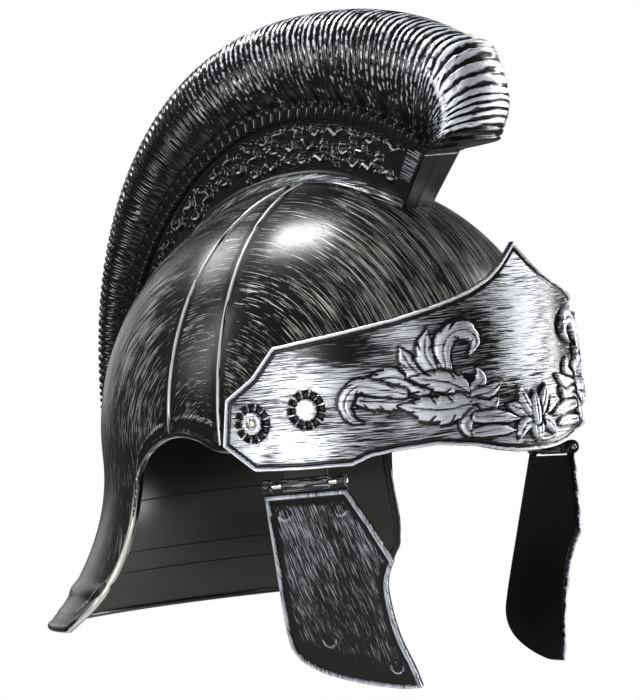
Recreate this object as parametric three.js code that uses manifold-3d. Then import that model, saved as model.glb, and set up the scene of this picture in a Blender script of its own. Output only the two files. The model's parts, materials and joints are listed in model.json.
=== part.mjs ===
// A costume helmet in the Roman style, moulded in plastic: a bowl with a flared neck guard, a brow plate
// screwed to it, a ribbed crest on a holder, and two cheek guards hung on hinge pins.
// Millimetres, +Z up, the face looks towards -Y, and the origin is the inside top of the bowl.
import * as THREE from "three";
import { mergeVertices } from "three/addons/utils/BufferGeometryUtils.js";
import Module from "manifold-3d";

const wasm = await Module();
wasm.setup();

// Driving dimensions
const gap = 0.3; // left between pieces that touch
const wall = 2.5; // moulded wall of the bowl

// Bowl: an ellipsoid above its widest level, straight below it, then flaring to the neck rim.
const bowl = {
  halfWidth: 100,
  front: 106,
  back: 127,
  widestZ: -115.5,
  flareTopZ: -120,
  rimZ: -196,
  sideFlare: 32,
  backFlare: 35,
  roundness: 2.1, // exponent of its outline seen from above
  rolledEdge: 1.7, // radius of the bead along its lower edge
};
const neckRib = { z: -179, halfHeight: 2.6, raise: 2.2 };
// Two beads on each side run up the bowl from the ear to the crest, at these angles behind the side.
const sideBeads = { angles: [-3.5, 10.5], halfAngle: 1.1, raise: 1.6 };
// Lower edge of the bowl from behind the brow plate, over the ear and down to the corner of the neck guard.
const earEdge = [
  { y: -30, z: -118 },
  { y: -8, z: -117.5 },
  { y: 6, z: -111.5 },
  { y: 19, z: -108.8 },
  { y: 33, z: -111.2 },
  { y: 46, z: -118 },
  { y: 55, z: -129 },
  { y: 58, z: -150 },
  { y: 63, z: -170 },
  { y: 74, z: -185 },
  { y: 91, z: -196 },
];

// Crest: ribs between a rope band that follows a circle and an outer curve that rounds off in front.
const crest = {
  ropeCentre: { y: -12, z: -100 },
  ropeRadius: 135,
  ropeHalfWidth: 16,
  outerCentre: { y: -14, z: -100 },
  outerRise: 181.5,
  outerReach: 156,
  outerRoundness: 2.2,
  halfWidth: 23,
  neckHalfWidth: 13.5, // where the ribs gather above the rope
  ribs: 54,
  noseShare: 0.17, // part of the ribs that fans round the nose
  ribDepth: 1.3,
  tailZ: -108,
};
const nose = { footY: -84, gatherY: -77, y: -109, z: 38, topY: -88, chinY: -99, chinZ: 12.5 };

// Holder: a narrow box that stands on the bowl and carries the crest.
const holder = {
  halfWidth: 14.5,
  frontTopY: -73.5,
  frontFootY: -54,
  frontFootZ: -22,
  endAngle: 100, // degrees round the crest's circle from its top
  insideZ: -90, // the block reaches down into the bowl's form, which then cuts it
  arcSteps: 28,
  reliefRaise: 1.2,
};
// Relief on the holder's sides: angles along the crest's circle from its top, and depths below the rope.
const holderRelief = [
  { from: -24.5, to: -21.5, depth: 3, toDepth: 19, halfWidth: 2 },
  { from: -19, to: -13, depth: 5, toDepth: 12, halfWidth: 1.4 },
  { from: -12, to: -6, depth: 13, toDepth: 6, halfWidth: 1.4 },
  { from: -4, to: 3, depth: 6, toDepth: 12, halfWidth: 1.4 },
  { from: 5, to: 12, depth: 13, toDepth: 6, halfWidth: 1.4 },
  { from: 15, to: 22, depth: 6, toDepth: 12, halfWidth: 1.4 },
  { from: 25, to: 33, depth: 12, toDepth: 6, halfWidth: 1.4 },
  { from: 37, to: 46, depth: 6, toDepth: 10, halfWidth: 1.3 },
];

// Brow plate: a band on a rounded outline, drawn as distance round from the middle against height.
const plate = {
  halfWidth: 103.5,
  centreY: 14,
  reach: 128.5,
  footZ: -132,
  lean: 0.03,
  roundness: 2.2,
  thickness: 2,
  rimWidth: 3.2,
  rimRaise: 1.6,
};
const plateTop = [
  { round: 0, z: -36 },
  { round: 10.5, z: -45 },
  { round: 19, z: -50.8 },
  { round: 31.5, z: -56.2 },
  { round: 48.6, z: -60.8 },
  { round: 69, z: -65 },
  { round: 97, z: -69 },
  { round: 129, z: -72.8 },
  { round: 141.5, z: -86 },
  { round: 156.5, z: -95 },
  { round: 160.5, z: -116.5 },
];
const plateFoot = [
  { round: 0, z: -133.4 },
  { round: 13, z: -132.8 },
  { round: 25.5, z: -130.8 },
  { round: 36.5, z: -127.9 },
  { round: 57, z: -125.2 },
  { round: 76, z: -125.9 },
  { round: 88, z: -127.3 },
  { round: 97, z: -130.6 },
  { round: 120, z: -130.3 },
  { round: 144.5, z: -129.2 },
  { round: 160.5, z: -116.5 },
];
const rosettes = [
  { round: 144, z: -107, hasScrew: true },
  { round: 116.7, z: -103, hasScrew: false },
];
const rosette = {
  radius: 9.6,
  notch: 0.88, // radius between scallops as a share of the full one
  scallops: 12,
  ringRaise: 0.9,
  innerRadius: 4.6,
  middleSides: 8,
  raise: 2.4,
};
const screw = {
  headRadius: 2.6,
  headHeight: 1.4,
  shaftRadius: 1.4,
  shaftLength: 9,
  bossRadius: 5, // a boss behind the plate bears on the bowl
  bossFrom: -10,
  bossTo: -3,
  sides: 10,
};

// Leaves raised on each half of the plate: lobes through points (round, z), and a half-width at their middle.
const reliefRoot = -1; // raised shapes start this far inside the plate's face
const leaves = [
  { name: "scroll", halfWidth: 3.6, raise: 2.2, through: [[80, -98], [91, -94.5], [97, -101.5], [90, -111]] },
  { name: "stem", halfWidth: 4, raise: 1.6, through: [[92, -102], [62, -105]] },
  { name: "back leaf", halfWidth: 4.4, raise: 1.9, through: [[59, -99], [72.7, -92], [89.5, -93]] },
  { name: "low spike", halfWidth: 4.2, raise: 2.1, through: [[54, -96], [64, -89], [70, -80]] },
  { name: "high spike", halfWidth: 4.2, raise: 2.3, through: [[52, -94], [57.5, -84], [56, -73.5]] },
  {
    name: "curl",
    halfWidth: 4.6,
    raise: 2.5,
    through: [[49, -94], [49, -82], [41, -74], [33, -79], [36, -86]],
  },
  { name: "broad leaf", halfWidth: 6.4, raise: 2.8, through: [[37.5, -108], [53, -107.5], [71, -106]] },
  { name: "upper leaf", halfWidth: 5.6, raise: 2.7, through: [[37.5, -103.5], [49, -97], [63.5, -94.5]] },
  { name: "spur", halfWidth: 3.4, raise: 2, through: [[38, -105], [28, -104.5], [21, -100.5]] },
  { name: "flower stem", halfWidth: 4.2, raise: 1.7, through: [[37, -114], [11, -119]] },
  { name: "upper petal", halfWidth: 4.4, raise: 2.4, through: [[2.5, -118], [6.8, -111], [0.6, -106]] },
  { name: "lower petal", halfWidth: 3.2, raise: 2.2, through: [[1.5, -117], [10.5, -119.6], [14, -124.5]] },
];

// Hinge under each end of the brow plate, and the cheek guard that hangs from it.
const hinge = {
  front: new THREE.Vector3(84.2, -68, -136.7),
  back: new THREE.Vector3(99, -30.5, -136.7),
  barrelStart: 9.4,
  barrelEnd: 32,
  earLength: 3.8,
  knuckleRadius: 3.3,
  boreRadius: 1.6,
  pinRadius: 1.3,
  pinOverhang: 0.8,
  webThickness: 2.4, // the barrel hangs from the plate by an upright web
  webHeight: 10,
  sides: 10,
};
const cheek = { tilt: 16, topEdge: 4.2, thickness: 2, rimWidth: 3, rimHeight: 4 };
// Outline of a cheek guard: along runs forward from the back end of the hinge, down runs away from it.
const cheekFront = [
  { along: 39.8, down: 4.2 },
  { along: 48, down: 22 },
  { along: 55.6, down: 40.5 },
  { along: 51, down: 50 },
  { along: 50, down: 62 },
  { along: 51.5, down: 78 },
  { along: 55.5, down: 93 },
  { along: 57.5, down: 103 },
];
const cheekBack = [
  { along: 0, down: 4.2 },
  { along: -1.6, down: 40 },
  { along: -2.6, down: 70 },
  { along: -0.6, down: 82 },
  { along: 9, down: 91 },
  { along: 26, down: 98 },
  { along: 46, down: 102.8 },
];

// Solids
function solidOf(geometry) {
  const bare = geometry.clone();
  bare.deleteAttribute("normal");
  bare.deleteAttribute("uv");
  const merged = mergeVertices(bare, 1e-4);
  const vertProperties = merged.attributes.position.array;
  const triVerts = new Uint32Array(merged.index.array);
  const solid = new wasm.Manifold(new wasm.Mesh({ numProp: 3, vertProperties, triVerts }));
  if (solid.volume() > 0) return solid;
  for (let i = 0; i < triVerts.length; i += 3) {
    [triVerts[i], triVerts[i + 1]] = [triVerts[i + 1], triVerts[i]];
  }
  return new wasm.Manifold(new wasm.Mesh({ numProp: 3, vertProperties, triVerts }));
}

function geometryOf(solid) {
  const mesh = solid.getMesh();
  const geometry = new THREE.BufferGeometry();
  geometry.setAttribute("position", new THREE.BufferAttribute(mesh.vertProperties, 3));
  geometry.setIndex(new THREE.BufferAttribute(mesh.triVerts, 1));
  geometry.computeVertexNormals();
  return geometry;
}

function joined(solids) {
  return solids.reduce((whole, next) => whole.add(next));
}

function mirrored(geometry) {
  return geometry.clone().scale(-1, 1, 1);
}

// A closed skin over rings of points that all hold the same number, with a fan to a pole at each end.
function loft(rings, firstPole, lastPole) {
  const size = rings[0].length;
  const points = [firstPole, ...rings.flat(), lastPole];
  const last = rings.length - 1;
  const at = (ring, i) => 1 + ring * size + (i % size);
  const faces = [];
  for (let i = 0; i < size; i++) {
    faces.push(0, at(0, i), at(0, i + 1));
    for (let ring = 0; ring < last; ring++) {
      faces.push(at(ring, i), at(ring + 1, i), at(ring + 1, i + 1));
      faces.push(at(ring, i), at(ring + 1, i + 1), at(ring, i + 1));
    }
    faces.push(points.length - 1, at(last, i + 1), at(last, i));
  }
  const geometry = new THREE.BufferGeometry().setFromPoints(points);
  geometry.setIndex(faces);
  return geometry;
}

function middleOf(points) {
  const sum = points.reduce((total, point) => total.add(point), new THREE.Vector3());
  return sum.divideScalar(points.length);
}

function tube(points, radius, sides, closed) {
  const path = new THREE.CatmullRomCurve3(points, closed, "centripetal");
  const section = new THREE.Shape();
  for (let i = 0; i < sides; i++) {
    const angle = (2 * Math.PI * i) / sides;
    section[i ? "lineTo" : "moveTo"](radius * Math.cos(angle), radius * Math.sin(angle));
  }
  return new THREE.ExtrudeGeometry(section, { steps: points.length - (closed ? 0 : 1), extrudePath: path });
}

// Height on a table of points, along straight lines between its rows.
function tableValue(table, key, value, wanted) {
  const next = Math.max(1, table.findIndex((row) => row[key] >= value));
  const [low, high] = [table[next - 1], table[next]];
  const share = (value - low[key]) / (high[key] - low[key]);
  return low[wanted] + share * (high[wanted] - low[wanted]);
}

function signedPower(value, power) {
  return Math.sign(value) * Math.abs(value) ** power;
}

// Bowl
const degree = Math.PI / 180;

function bowlSection(z, outward = 0) {
  const apex = wall + outward;
  const rise = Math.min(1, Math.max(0, (z - bowl.widestZ) / (apex - bowl.widestZ)));
  const dome = Math.sqrt(1 - rise * rise);
  const flare = Math.max(0, (bowl.flareTopZ - z) / (bowl.flareTopZ - bowl.rimZ)) ** 2;
  const fromRib = (z - neckRib.z) / neckRib.halfHeight;
  const rib = outward < 0 ? 0 : neckRib.raise * Math.max(0, 1 - fromRib * fromRib);
  return {
    side: (bowl.halfWidth + outward) * dome + bowl.sideFlare * flare + rib,
    front: (bowl.front + outward) * dome,
    back: (bowl.back + outward) * dome + bowl.backFlare * flare + rib,
  };
}

// A point of the bowl at a height, with the angle measured from the wearer's left side towards the back.
function bowlPoint(angle, z, outward = 0, raise = 0) {
  const section = bowlSection(z, outward);
  const depth = Math.sin(angle) < 0 ? section.front : section.back;
  const x = (section.side + raise) * signedPower(Math.cos(angle), 2 / bowl.roundness);
  const y = (depth + raise) * signedPower(Math.sin(angle), 2 / bowl.roundness);
  return new THREE.Vector3(x, y, z);
}

// Half the bowl's width at a place on its outer face.
function bowlHalfWidth(y, z) {
  const section = bowlSection(z);
  const share = Math.abs(y) / (y < 0 ? section.front : section.back);
  return section.side * (1 - share ** bowl.roundness) ** (1 / bowl.roundness);
}

function bowlColumns() {
  const columns = [];
  const plain = 36;
  for (let i = 0; i < plain; i++) columns.push({ angle: (360 / plain) * (i + 0.5), raise: 0 });
  for (const behind of sideBeads.angles) {
    for (const centre of [behind, 180 - behind]) {
      for (const [step, raise] of [[-1, 0], [-0.4, 1], [0.4, 1], [1, 0]]) {
        columns.push({ angle: centre + step * sideBeads.halfAngle, raise: raise * sideBeads.raise });
      }
    }
  }
  const around = columns.map((column) => ({ ...column, angle: ((column.angle + 360) % 360) * degree }));
  return around.sort((a, b) => a.angle - b.angle);
}

function bowlRing(columns, z, outward, beads) {
  return columns.map(({ angle, raise }) => bowlPoint(angle, z, outward, raise * beads));
}

const domeTilts = [16, 30, 43, 55, 66, 78, 90]; // degrees from the top at which the dome has rings
const skirtHeights = [-135, -153, -168]; // further rings below the widest level

function domeHeights(outward) {
  return domeTilts.map((tilt) => bowl.widestZ + (wall + outward - bowl.widestZ) * Math.cos(tilt * degree));
}

// The bowl's outer form as a plain block, used to seat other pieces on it.
function bowlForm(outward) {
  const columns = bowlColumns();
  const heights = [...domeHeights(outward), ...skirtHeights, bowl.rimZ];
  const rings = heights.map((z) => bowlRing(columns, z, outward, 1));
  const foot = new THREE.Vector3(0, 0, bowl.rimZ);
  return solidOf(loft(rings, new THREE.Vector3(0, 0, wall + outward), foot));
}

function earCurve() {
  return new THREE.SplineCurve(earEdge.map(({ y, z }) => new THREE.Vector2(y, z)));
}

function faceCutter() {
  const far = 260;
  const edge = earCurve().getPoints(16);
  const shape = new THREE.Shape();
  shape.moveTo(-far, -far);
  shape.lineTo(-far, earEdge[0].z);
  edge.forEach((point) => shape.lineTo(point.x, point.y));
  shape.lineTo(edge.at(-1).x + 12, -far);
  const cutter = new THREE.ExtrudeGeometry(shape, { depth: 2 * far, bevelEnabled: false });
  cutter.rotateZ(Math.PI / 2).rotateY(Math.PI / 2);
  return cutter.translate(-far, 0, 0);
}

function bowlShell() {
  const columns = bowlColumns();
  const rib = [neckRib.z + neckRib.halfHeight, neckRib.z, neckRib.z - neckRib.halfHeight];
  const outer = [...domeHeights(0), ...skirtHeights, ...rib, bowl.rimZ];
  const inner = [...domeHeights(-wall), ...skirtHeights, bowl.rimZ].reverse();
  const rings = [
    ...outer.map((z) => bowlRing(columns, z, 0, 1)),
    ...inner.map((z) => bowlRing(columns, z, -wall, 0)),
  ];
  return solidOf(loft(rings, new THREE.Vector3(0, 0, wall), new THREE.Vector3(0, 0, 0)));
}

function rolledEdge() {
  const ear = earCurve().getPoints(16);
  const rightEar = ear.map(({ x: y, y: z }) => new THREE.Vector3(-bowlHalfWidth(y, z), y, z));
  const leftEar = ear.map(({ x: y, y: z }) => new THREE.Vector3(bowlHalfWidth(y, z), y, z)).reverse();
  const corner = leftEar[0];
  const section = bowlSection(bowl.rimZ);
  const start = Math.asin((corner.y / section.back) ** (bowl.roundness / 2));
  const rim = [];
  for (let i = 1; i < 24; i++) {
    const angle = Math.PI - start - (i / 24) * (Math.PI - 2 * start);
    rim.push(bowlPoint(angle, bowl.rimZ));
  }
  const path = [...rightEar, ...rim, ...leftEar].map((point) => {
    const inwards = new THREE.Vector3(-point.x, -point.y, 0).setLength(wall / 2);
    return point.add(inwards);
  });
  return solidOf(tube(path, bowl.rolledEdge, 5, false));
}

function makeBowl() {
  const open = bowlShell().subtract(solidOf(faceCutter()));
  return open.add(rolledEdge());
}

// Crest
function ropePoint(angle, radius = crest.ropeRadius) {
  const { y, z } = crest.ropeCentre;
  return new THREE.Vector2(y + radius * Math.sin(angle), z + radius * Math.cos(angle));
}

function bowlBack(z) {
  return bowlSection(z).back + gap;
}

// The crest's stations: a foot on the rope band's circle and a tip on the outer curve, front to back.
function crestStations() {
  const stations = [];
  const count = 2 * crest.ribs;
  const { y, z } = crest.outerCentre;
  const power = 2 / crest.outerRoundness;
  const outer = (angle) => new THREE.Vector2(
    y + crest.outerReach * signedPower(Math.sin(angle), power),
    z + crest.outerRise * signedPower(Math.cos(angle), power),
  );
  const noseStart = -Math.asin(((y - nose.topY) / crest.outerReach) ** (1 / power));
  const noseTop = outer(noseStart);
  const profile = new THREE.SplineCurve([
    new THREE.Vector2(nose.chinY, nose.chinZ),
    new THREE.Vector2(nose.chinY - 8, nose.chinZ + 13),
    new THREE.Vector2(nose.y, nose.z),
    new THREE.Vector2(nose.y + 6, nose.z + 20),
    noseTop,
  ]);
  const ropeAngle = (footY) => Math.asin((footY - crest.ropeCentre.y) / crest.ropeRadius);
  const [footAngle, gatherAngle] = [ropeAngle(nose.footY), ropeAngle(nose.gatherY)];
  const tailAngle = Math.PI / 2 + Math.asin(((z - crest.tailZ) / crest.outerRise) ** (1 / power));
  const ropeTail = Math.acos((crest.tailZ - crest.ropeCentre.z) / crest.ropeRadius);
  for (let i = 0; i <= count; i++) {
    const share = i / count;
    const ridge = i % 2;
    if (share < crest.noseShare) {
      const along = share / crest.noseShare;
      const foot = ropePoint(footAngle + along * (gatherAngle - footAngle));
      stations.push({ foot, tip: profile.getPoint(along), ridge });
    } else {
      const along = (share - crest.noseShare) / (1 - crest.noseShare);
      const foot = ropePoint(gatherAngle + along * (ropeTail - gatherAngle));
      foot.x = foot.x > 0 ? Math.max(foot.x, bowlBack(foot.y)) : foot.x;
      stations.push({ foot, tip: outer(noseStart + along * (tailAngle - noseStart)), ridge });
    }
  }
  return stations;
}

// Half of a crest section from the foot up: width in mm, and height as a share from foot to tip.
const crestHalf = [
  { width: crest.ropeHalfWidth - 1, height: 0 },
  { width: crest.ropeHalfWidth, height: 0.07 },
  { width: crest.neckHalfWidth, height: 0.15 },
  { width: crest.halfWidth * 0.9, height: 0.42 },
  { width: crest.halfWidth * 0.94, height: 0.74 },
  { width: crest.halfWidth * 0.5, height: 0.97 },
];

function crestRing({ foot, tip, ridge }) {
  const rise = tip.clone().sub(foot);
  const length = rise.length();
  const sunk = ridge ? 0 : crest.ribDepth;
  const side = (sign) => crestHalf.map(({ width, height }) => {
    const place = foot.clone().addScaledVector(rise, height ? height * (1 - sunk / length) : 0);
    return new THREE.Vector3(sign * (width - sunk), place.x, place.y);
  });
  return [...side(-1), ...side(1).reverse()];
}

function makeCrest() {
  const rings = crestStations().map(crestRing);
  const body = solidOf(loft(rings, middleOf(rings[0]), middleOf(rings.at(-1))));
  return body.subtract(bowlForm(gap));
}

// Holder
function makeHolder() {
  const top = crest.ropeRadius - gap;
  const start = Math.asin((holder.frontTopY - crest.ropeCentre.y) / top);
  const end = holder.endAngle * degree;
  const shape = new THREE.Shape();
  shape.moveTo(holder.frontFootY, holder.frontFootZ);
  for (let i = 0; i <= holder.arcSteps; i++) {
    const point = ropePoint(start + (i / holder.arcSteps) * (end - start), top);
    shape.lineTo(point.x, point.y);
  }
  shape.lineTo(0, holder.insideZ);
  const block = new THREE.ExtrudeGeometry(shape, { depth: 2 * holder.halfWidth, bevelEnabled: false });
  block.rotateZ(Math.PI / 2).rotateY(Math.PI / 2).translate(-holder.halfWidth, 0, 0);
  return joined([solidOf(block), ...holderScrolls()]).subtract(bowlForm(gap));
}

// Scrolls and the end strip raised on the holder's sides, each a bar along a stretch of the crest's circle.
function holderScrolls() {
  const bar = ({ from, to, depth, toDepth, halfWidth }) => {
    const start = ropePoint(from * degree, crest.ropeRadius - depth);
    const end = ropePoint(to * degree, crest.ropeRadius - toDepth);
    const across = end.clone().sub(start).rotateAround(new THREE.Vector2(), Math.PI / 2).setLength(halfWidth);
    const shape = new THREE.Shape([
      start.clone().add(across),
      start.clone().sub(across),
      end.clone().sub(across),
      end.clone().add(across),
    ]);
    const width = 2 * (holder.halfWidth + holder.reliefRaise);
    const block = new THREE.ExtrudeGeometry(shape, { depth: width, bevelEnabled: false });
    return solidOf(block.rotateZ(Math.PI / 2).rotateY(Math.PI / 2).translate(-width / 2, 0, 0));
  };
  return holderRelief.map(bar);
}

// Brow plate
const plateRound = plateTop.at(-1).round;

function platePlan(angle, z) {
  const reach = plate.reach - plate.lean * (z - plate.footZ);
  const x = plate.halfWidth * signedPower(Math.sin(angle), 2 / plate.roundness);
  const y = plate.centreY - reach * signedPower(Math.cos(angle), 2 / plate.roundness);
  return new THREE.Vector2(x, y);
}

// Angles round the plate at even distances from the middle of its front.
const plateAngles = (() => {
  const table = [{ round: 0, angle: 0 }];
  const steps = 400;
  for (let i = 1; i <= steps; i++) {
    const angle = (i / steps) * Math.PI * 0.5;
    const before = platePlan(table[i - 1].angle, plate.footZ);
    table.push({ round: table[i - 1].round + platePlan(angle, plate.footZ).distanceTo(before), angle });
  }
  return table;
})();

// A point at a distance round the plate (to the wearer's left if positive), a height and a depth outwards.
function platePoint(round, z, out = 0) {
  const angleAt = (distance) => tableValue(plateAngles, "round", Math.abs(distance), "angle");
  const place = platePlan(angleAt(round), z);
  const ahead = platePlan(angleAt(Math.abs(round) + 1), z).sub(place).normalize();
  const point = new THREE.Vector3(place.x + ahead.y * out, place.y - ahead.x * out, z);
  if (round < 0) point.x = -point.x;
  return point;
}

// The band with its raised rim: each ring is an upright cut through the plate.
function plateSlab() {
  const rounds = [];
  const step = 6.5;
  const inner = Math.floor((plateRound - 2 * plate.rimWidth) / step);
  for (let i = -inner; i <= inner; i++) rounds.push(i * step);
  const endRim = [plate.rimWidth, plate.rimWidth / 2].map((inset) => plateRound - inset);
  const corners = [plateTop.at(-4), plateFoot.at(-2), plateTop.at(-2)].map((row) => row.round);
  for (const corner of [...corners, ...endRim]) rounds.push(corner, -corner);
  rounds.sort((a, b) => a - b);
  const ring = (round) => {
    const top = tableValue(plateTop, "round", Math.abs(round), "z");
    const foot = tableValue(plateFoot, "round", Math.abs(round), "z");
    const rim = Math.min(plate.rimWidth, (top - foot) / 3);
    const onEnd = Math.abs(round) > endRim[0] ? plate.rimRaise : 0;
    return [
      platePoint(round, top, 0),
      platePoint(round, top - rim / 2, plate.rimRaise),
      platePoint(round, top - rim, onEnd),
      platePoint(round, foot + rim, onEnd),
      platePoint(round, foot + rim / 2, plate.rimRaise),
      platePoint(round, foot, 0),
      platePoint(round, foot, -plate.thickness),
      platePoint(round, top, -plate.thickness),
    ];
  };
  const tipOf = (side) => platePoint(side * plateRound, plateTop.at(-1).z, -plate.thickness / 2);
  return solidOf(loft(rounds.map(ring), tipOf(-1), tipOf(1)));
}

// A flat shape in the plate's own drawing, raised from its face and bent round with it.
function raisedOnPlate(shape, low, high) {
  const flat = new THREE.ExtrudeGeometry(shape, { depth: high - low, bevelEnabled: false });
  const position = flat.attributes.position;
  for (let i = 0; i < position.count; i++) {
    const bent = platePoint(position.getX(i), position.getY(i), low + position.getZ(i));
    position.setXYZ(i, bent.x, bent.y, bent.z);
  }
  return solidOf(flat);
}

function scallopedDisc(round, z, radius) {
  const shape = new THREE.Shape();
  const points = 2 * rosette.scallops;
  for (let i = 0; i < points; i++) {
    const angle = (2 * Math.PI * i) / points;
    const reach = i % 2 ? radius : radius * rosette.notch;
    shape[i ? "lineTo" : "moveTo"](round + reach * Math.cos(angle), z + reach * Math.sin(angle));
  }
  return shape;
}

function plainDisc(round, z, radius) {
  const shape = new THREE.Shape();
  for (let i = 0; i < rosette.middleSides; i++) {
    const angle = (2 * Math.PI * i) / rosette.middleSides;
    shape[i ? "lineTo" : "moveTo"](round + radius * Math.cos(angle), z + radius * Math.sin(angle));
  }
  return shape;
}

function plateRosettes() {
  return rosettes.flatMap(({ round, z }) => [-1, 1].flatMap((side) => [
    raisedOnPlate(scallopedDisc(side * round, z, rosette.radius), reliefRoot, rosette.ringRaise),
    raisedOnPlate(plainDisc(side * round, z, rosette.innerRadius), reliefRoot, rosette.raise),
  ]));
}

// The screw's place and the way it points, out through the plate.
function screwPlace(side) {
  const { round, z } = rosettes.find((row) => row.hasScrew);
  const seat = platePoint(side * round, z, rosette.raise);
  const out = seat.clone().sub(platePoint(side * round, z, -plate.thickness)).normalize();
  return { seat, out };
}

function alongScrew(side, radius, from, to, sides) {
  const { seat, out } = screwPlace(side);
  const rod = new THREE.CylinderGeometry(radius, radius, to - from, sides);
  rod.translate(0, (from + to) / 2, 0);
  const turn = new THREE.Quaternion().setFromUnitVectors(new THREE.Vector3(0, 1, 0), out);
  return rod.applyQuaternion(turn).translate(seat.x, seat.y, seat.z);
}

function screwHole(side) {
  const radius = screw.shaftRadius + gap;
  return solidOf(alongScrew(side, radius, -screw.shaftLength - 2, rosette.raise, screw.sides));
}

// A leaf's outline: full in the middle, narrower at its root and drawn out to a point.
function leafShape({ through, halfWidth }, side) {
  const spine = new THREE.SplineCurve(through.map(([round, z]) => new THREE.Vector2(side * round, z)));
  const steps = through.length;
  const edge = (sign) => Array.from({ length: steps + 1 }, (_, i) => {
    const along = i / steps;
    const fullness = 0.12 + 0.88 * Math.sin(Math.PI * (0.22 + 0.78 * along)) ** 0.8;
    const across = spine.getTangent(along).rotateAround(new THREE.Vector2(), Math.PI / 2);
    return spine.getPoint(along).addScaledVector(across, sign * halfWidth * fullness);
  });
  return new THREE.Shape([...edge(1), ...edge(-1).reverse()]);
}

function plateLeaves() {
  const both = (leaf) => [-1, 1].map((side) => raisedOnPlate(leafShape(leaf, side), reliefRoot, leaf.raise));
  return leaves.flatMap(both);
}

// Hinges: places and rods are worked out on the wearer's right and mirrored.
const hingeLength = hinge.front.distanceTo(hinge.back);

function onRight(point) {
  return new THREE.Vector3(-point.x, point.y, point.z);
}

// The hinge's own directions: along it to the front, down the cheek guard and out from the face.
const hingeFrame = (() => {
  const along = onRight(hinge.front).sub(onRight(hinge.back)).normalize();
  const inward = new THREE.Vector3(-along.y, along.x, 0);
  const down = new THREE.Vector3(0, 0, -1).applyAxisAngle(along, cheek.tilt * degree);
  const out = new THREE.Vector3().crossVectors(down, along).normalize();
  if (out.dot(inward) > 0) out.negate();
  return { along, down, out };
})();

// Turns geometry drawn as (along, down, out) into its place on the wearer's right.
function hung(geometry) {
  const { along, down, out } = hingeFrame;
  const place = new THREE.Matrix4().makeBasis(along, down, out).setPosition(onRight(hinge.back));
  return geometry.applyMatrix4(place);
}

function rod(radius, from, to, sides) {
  const round = new THREE.CylinderGeometry(radius, radius, to - from, sides);
  return solidOf(hung(round.rotateZ(Math.PI / 2).translate((from + to) / 2, 0, 0)));
}

function hungBox(from, to, size) {
  const box = new THREE.BoxGeometry(to.along - from.along, to.down - from.down, size);
  return solidOf(hung(box.translate((from.along + to.along) / 2, (from.down + to.down) / 2, 0)));
}

function hingeBore() {
  return rod(hinge.boreRadius, -1, hingeLength + 1, hinge.sides);
}

function hingeBarrel() {
  const { barrelStart, barrelEnd, webThickness, webHeight } = hinge;
  const web = new THREE.BoxGeometry(barrelEnd - barrelStart, webThickness, webHeight);
  const middle = onRight(hinge.back).addScaledVector(hingeFrame.along, (barrelStart + barrelEnd) / 2);
  const turn = Math.atan2(hingeFrame.along.y, hingeFrame.along.x);
  web.rotateZ(turn).translate(middle.x, middle.y, middle.z + webHeight / 2);
  const barrel = rod(hinge.knuckleRadius, barrelStart, barrelEnd, hinge.sides);
  return barrel.add(solidOf(web)).subtract(hingeBore());
}

function makePlate() {
  const right = hingeBarrel();
  const barrels = [right, solidOf(mirrored(geometryOf(right)))];
  const boss = (side) => alongScrew(side, screw.bossRadius, screw.bossFrom, screw.bossTo, screw.sides);
  const bosses = [-1, 1].map((side) => solidOf(boss(side)));
  const whole = joined([plateSlab(), ...plateRosettes(), ...plateLeaves(), ...barrels, ...bosses]);
  const seated = whole.subtract(bowlForm(gap));
  return [-1, 1].reduce((solid, side) => solid.subtract(screwHole(side)), seated);
}

function makeScrew(side) {
  const head = solidOf(alongScrew(side, screw.headRadius, gap, gap + screw.headHeight, screw.sides));
  const shaft = solidOf(alongScrew(side, screw.shaftRadius, -screw.shaftLength, 2 * gap, screw.sides));
  return head.add(shaft);
}

function makePin() {
  return rod(hinge.pinRadius, -hinge.pinOverhang, hingeLength + hinge.pinOverhang, hinge.sides);
}

// Cheek guards
function smoothEdge(rows) {
  return new THREE.SplineCurve(rows.map(({ along, down }) => new THREE.Vector2(along, down)));
}

function cheekOutline() {
  const beak = cheekFront.findIndex((row, i) => i > 0 && row.along > cheekFront[i + 1].along);
  const upper = cheekFront.slice(0, beak + 1).map(({ along, down }) => new THREE.Vector2(along, down));
  const lower = smoothEdge(cheekFront.slice(beak)).getPoints(6).slice(1);
  return [...upper, ...lower, ...smoothEdge(cheekBack).getPoints(11).reverse()];
}

function insetOutline(points, inset) {
  return points.map((point, i) => {
    const before = points[(i + points.length - 1) % points.length];
    const after = points[(i + 1) % points.length];
    const along = after.clone().sub(before).normalize();
    return new THREE.Vector2(point.x - along.y * inset, point.y + along.x * inset);
  });
}

function cheekSlab(points, from, to) {
  const slab = new THREE.ExtrudeGeometry(new THREE.Shape(points), { depth: to - from, bevelEnabled: false });
  return solidOf(hung(slab.translate(0, 0, from)));
}

function makeCheek() {
  const outline = cheekOutline();
  const half = cheek.thickness / 2;
  const block = cheekSlab(outline, -half, cheek.rimHeight - half);
  const pocket = cheekSlab(insetOutline(outline, cheek.rimWidth), half, cheek.rimHeight);
  const ears = [[0, hinge.earLength], [hingeLength - hinge.earLength, hingeLength]].map(([from, to]) => {
    const knuckle = rod(hinge.knuckleRadius, from, to, hinge.sides);
    const lower = cheek.topEdge + cheek.thickness;
    return knuckle.add(hungBox({ along: from, down: 0 }, { along: to, down: lower }, cheek.thickness));
  });
  return joined([block.subtract(pocket), ...ears]).subtract(hingeBore());
}

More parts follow.
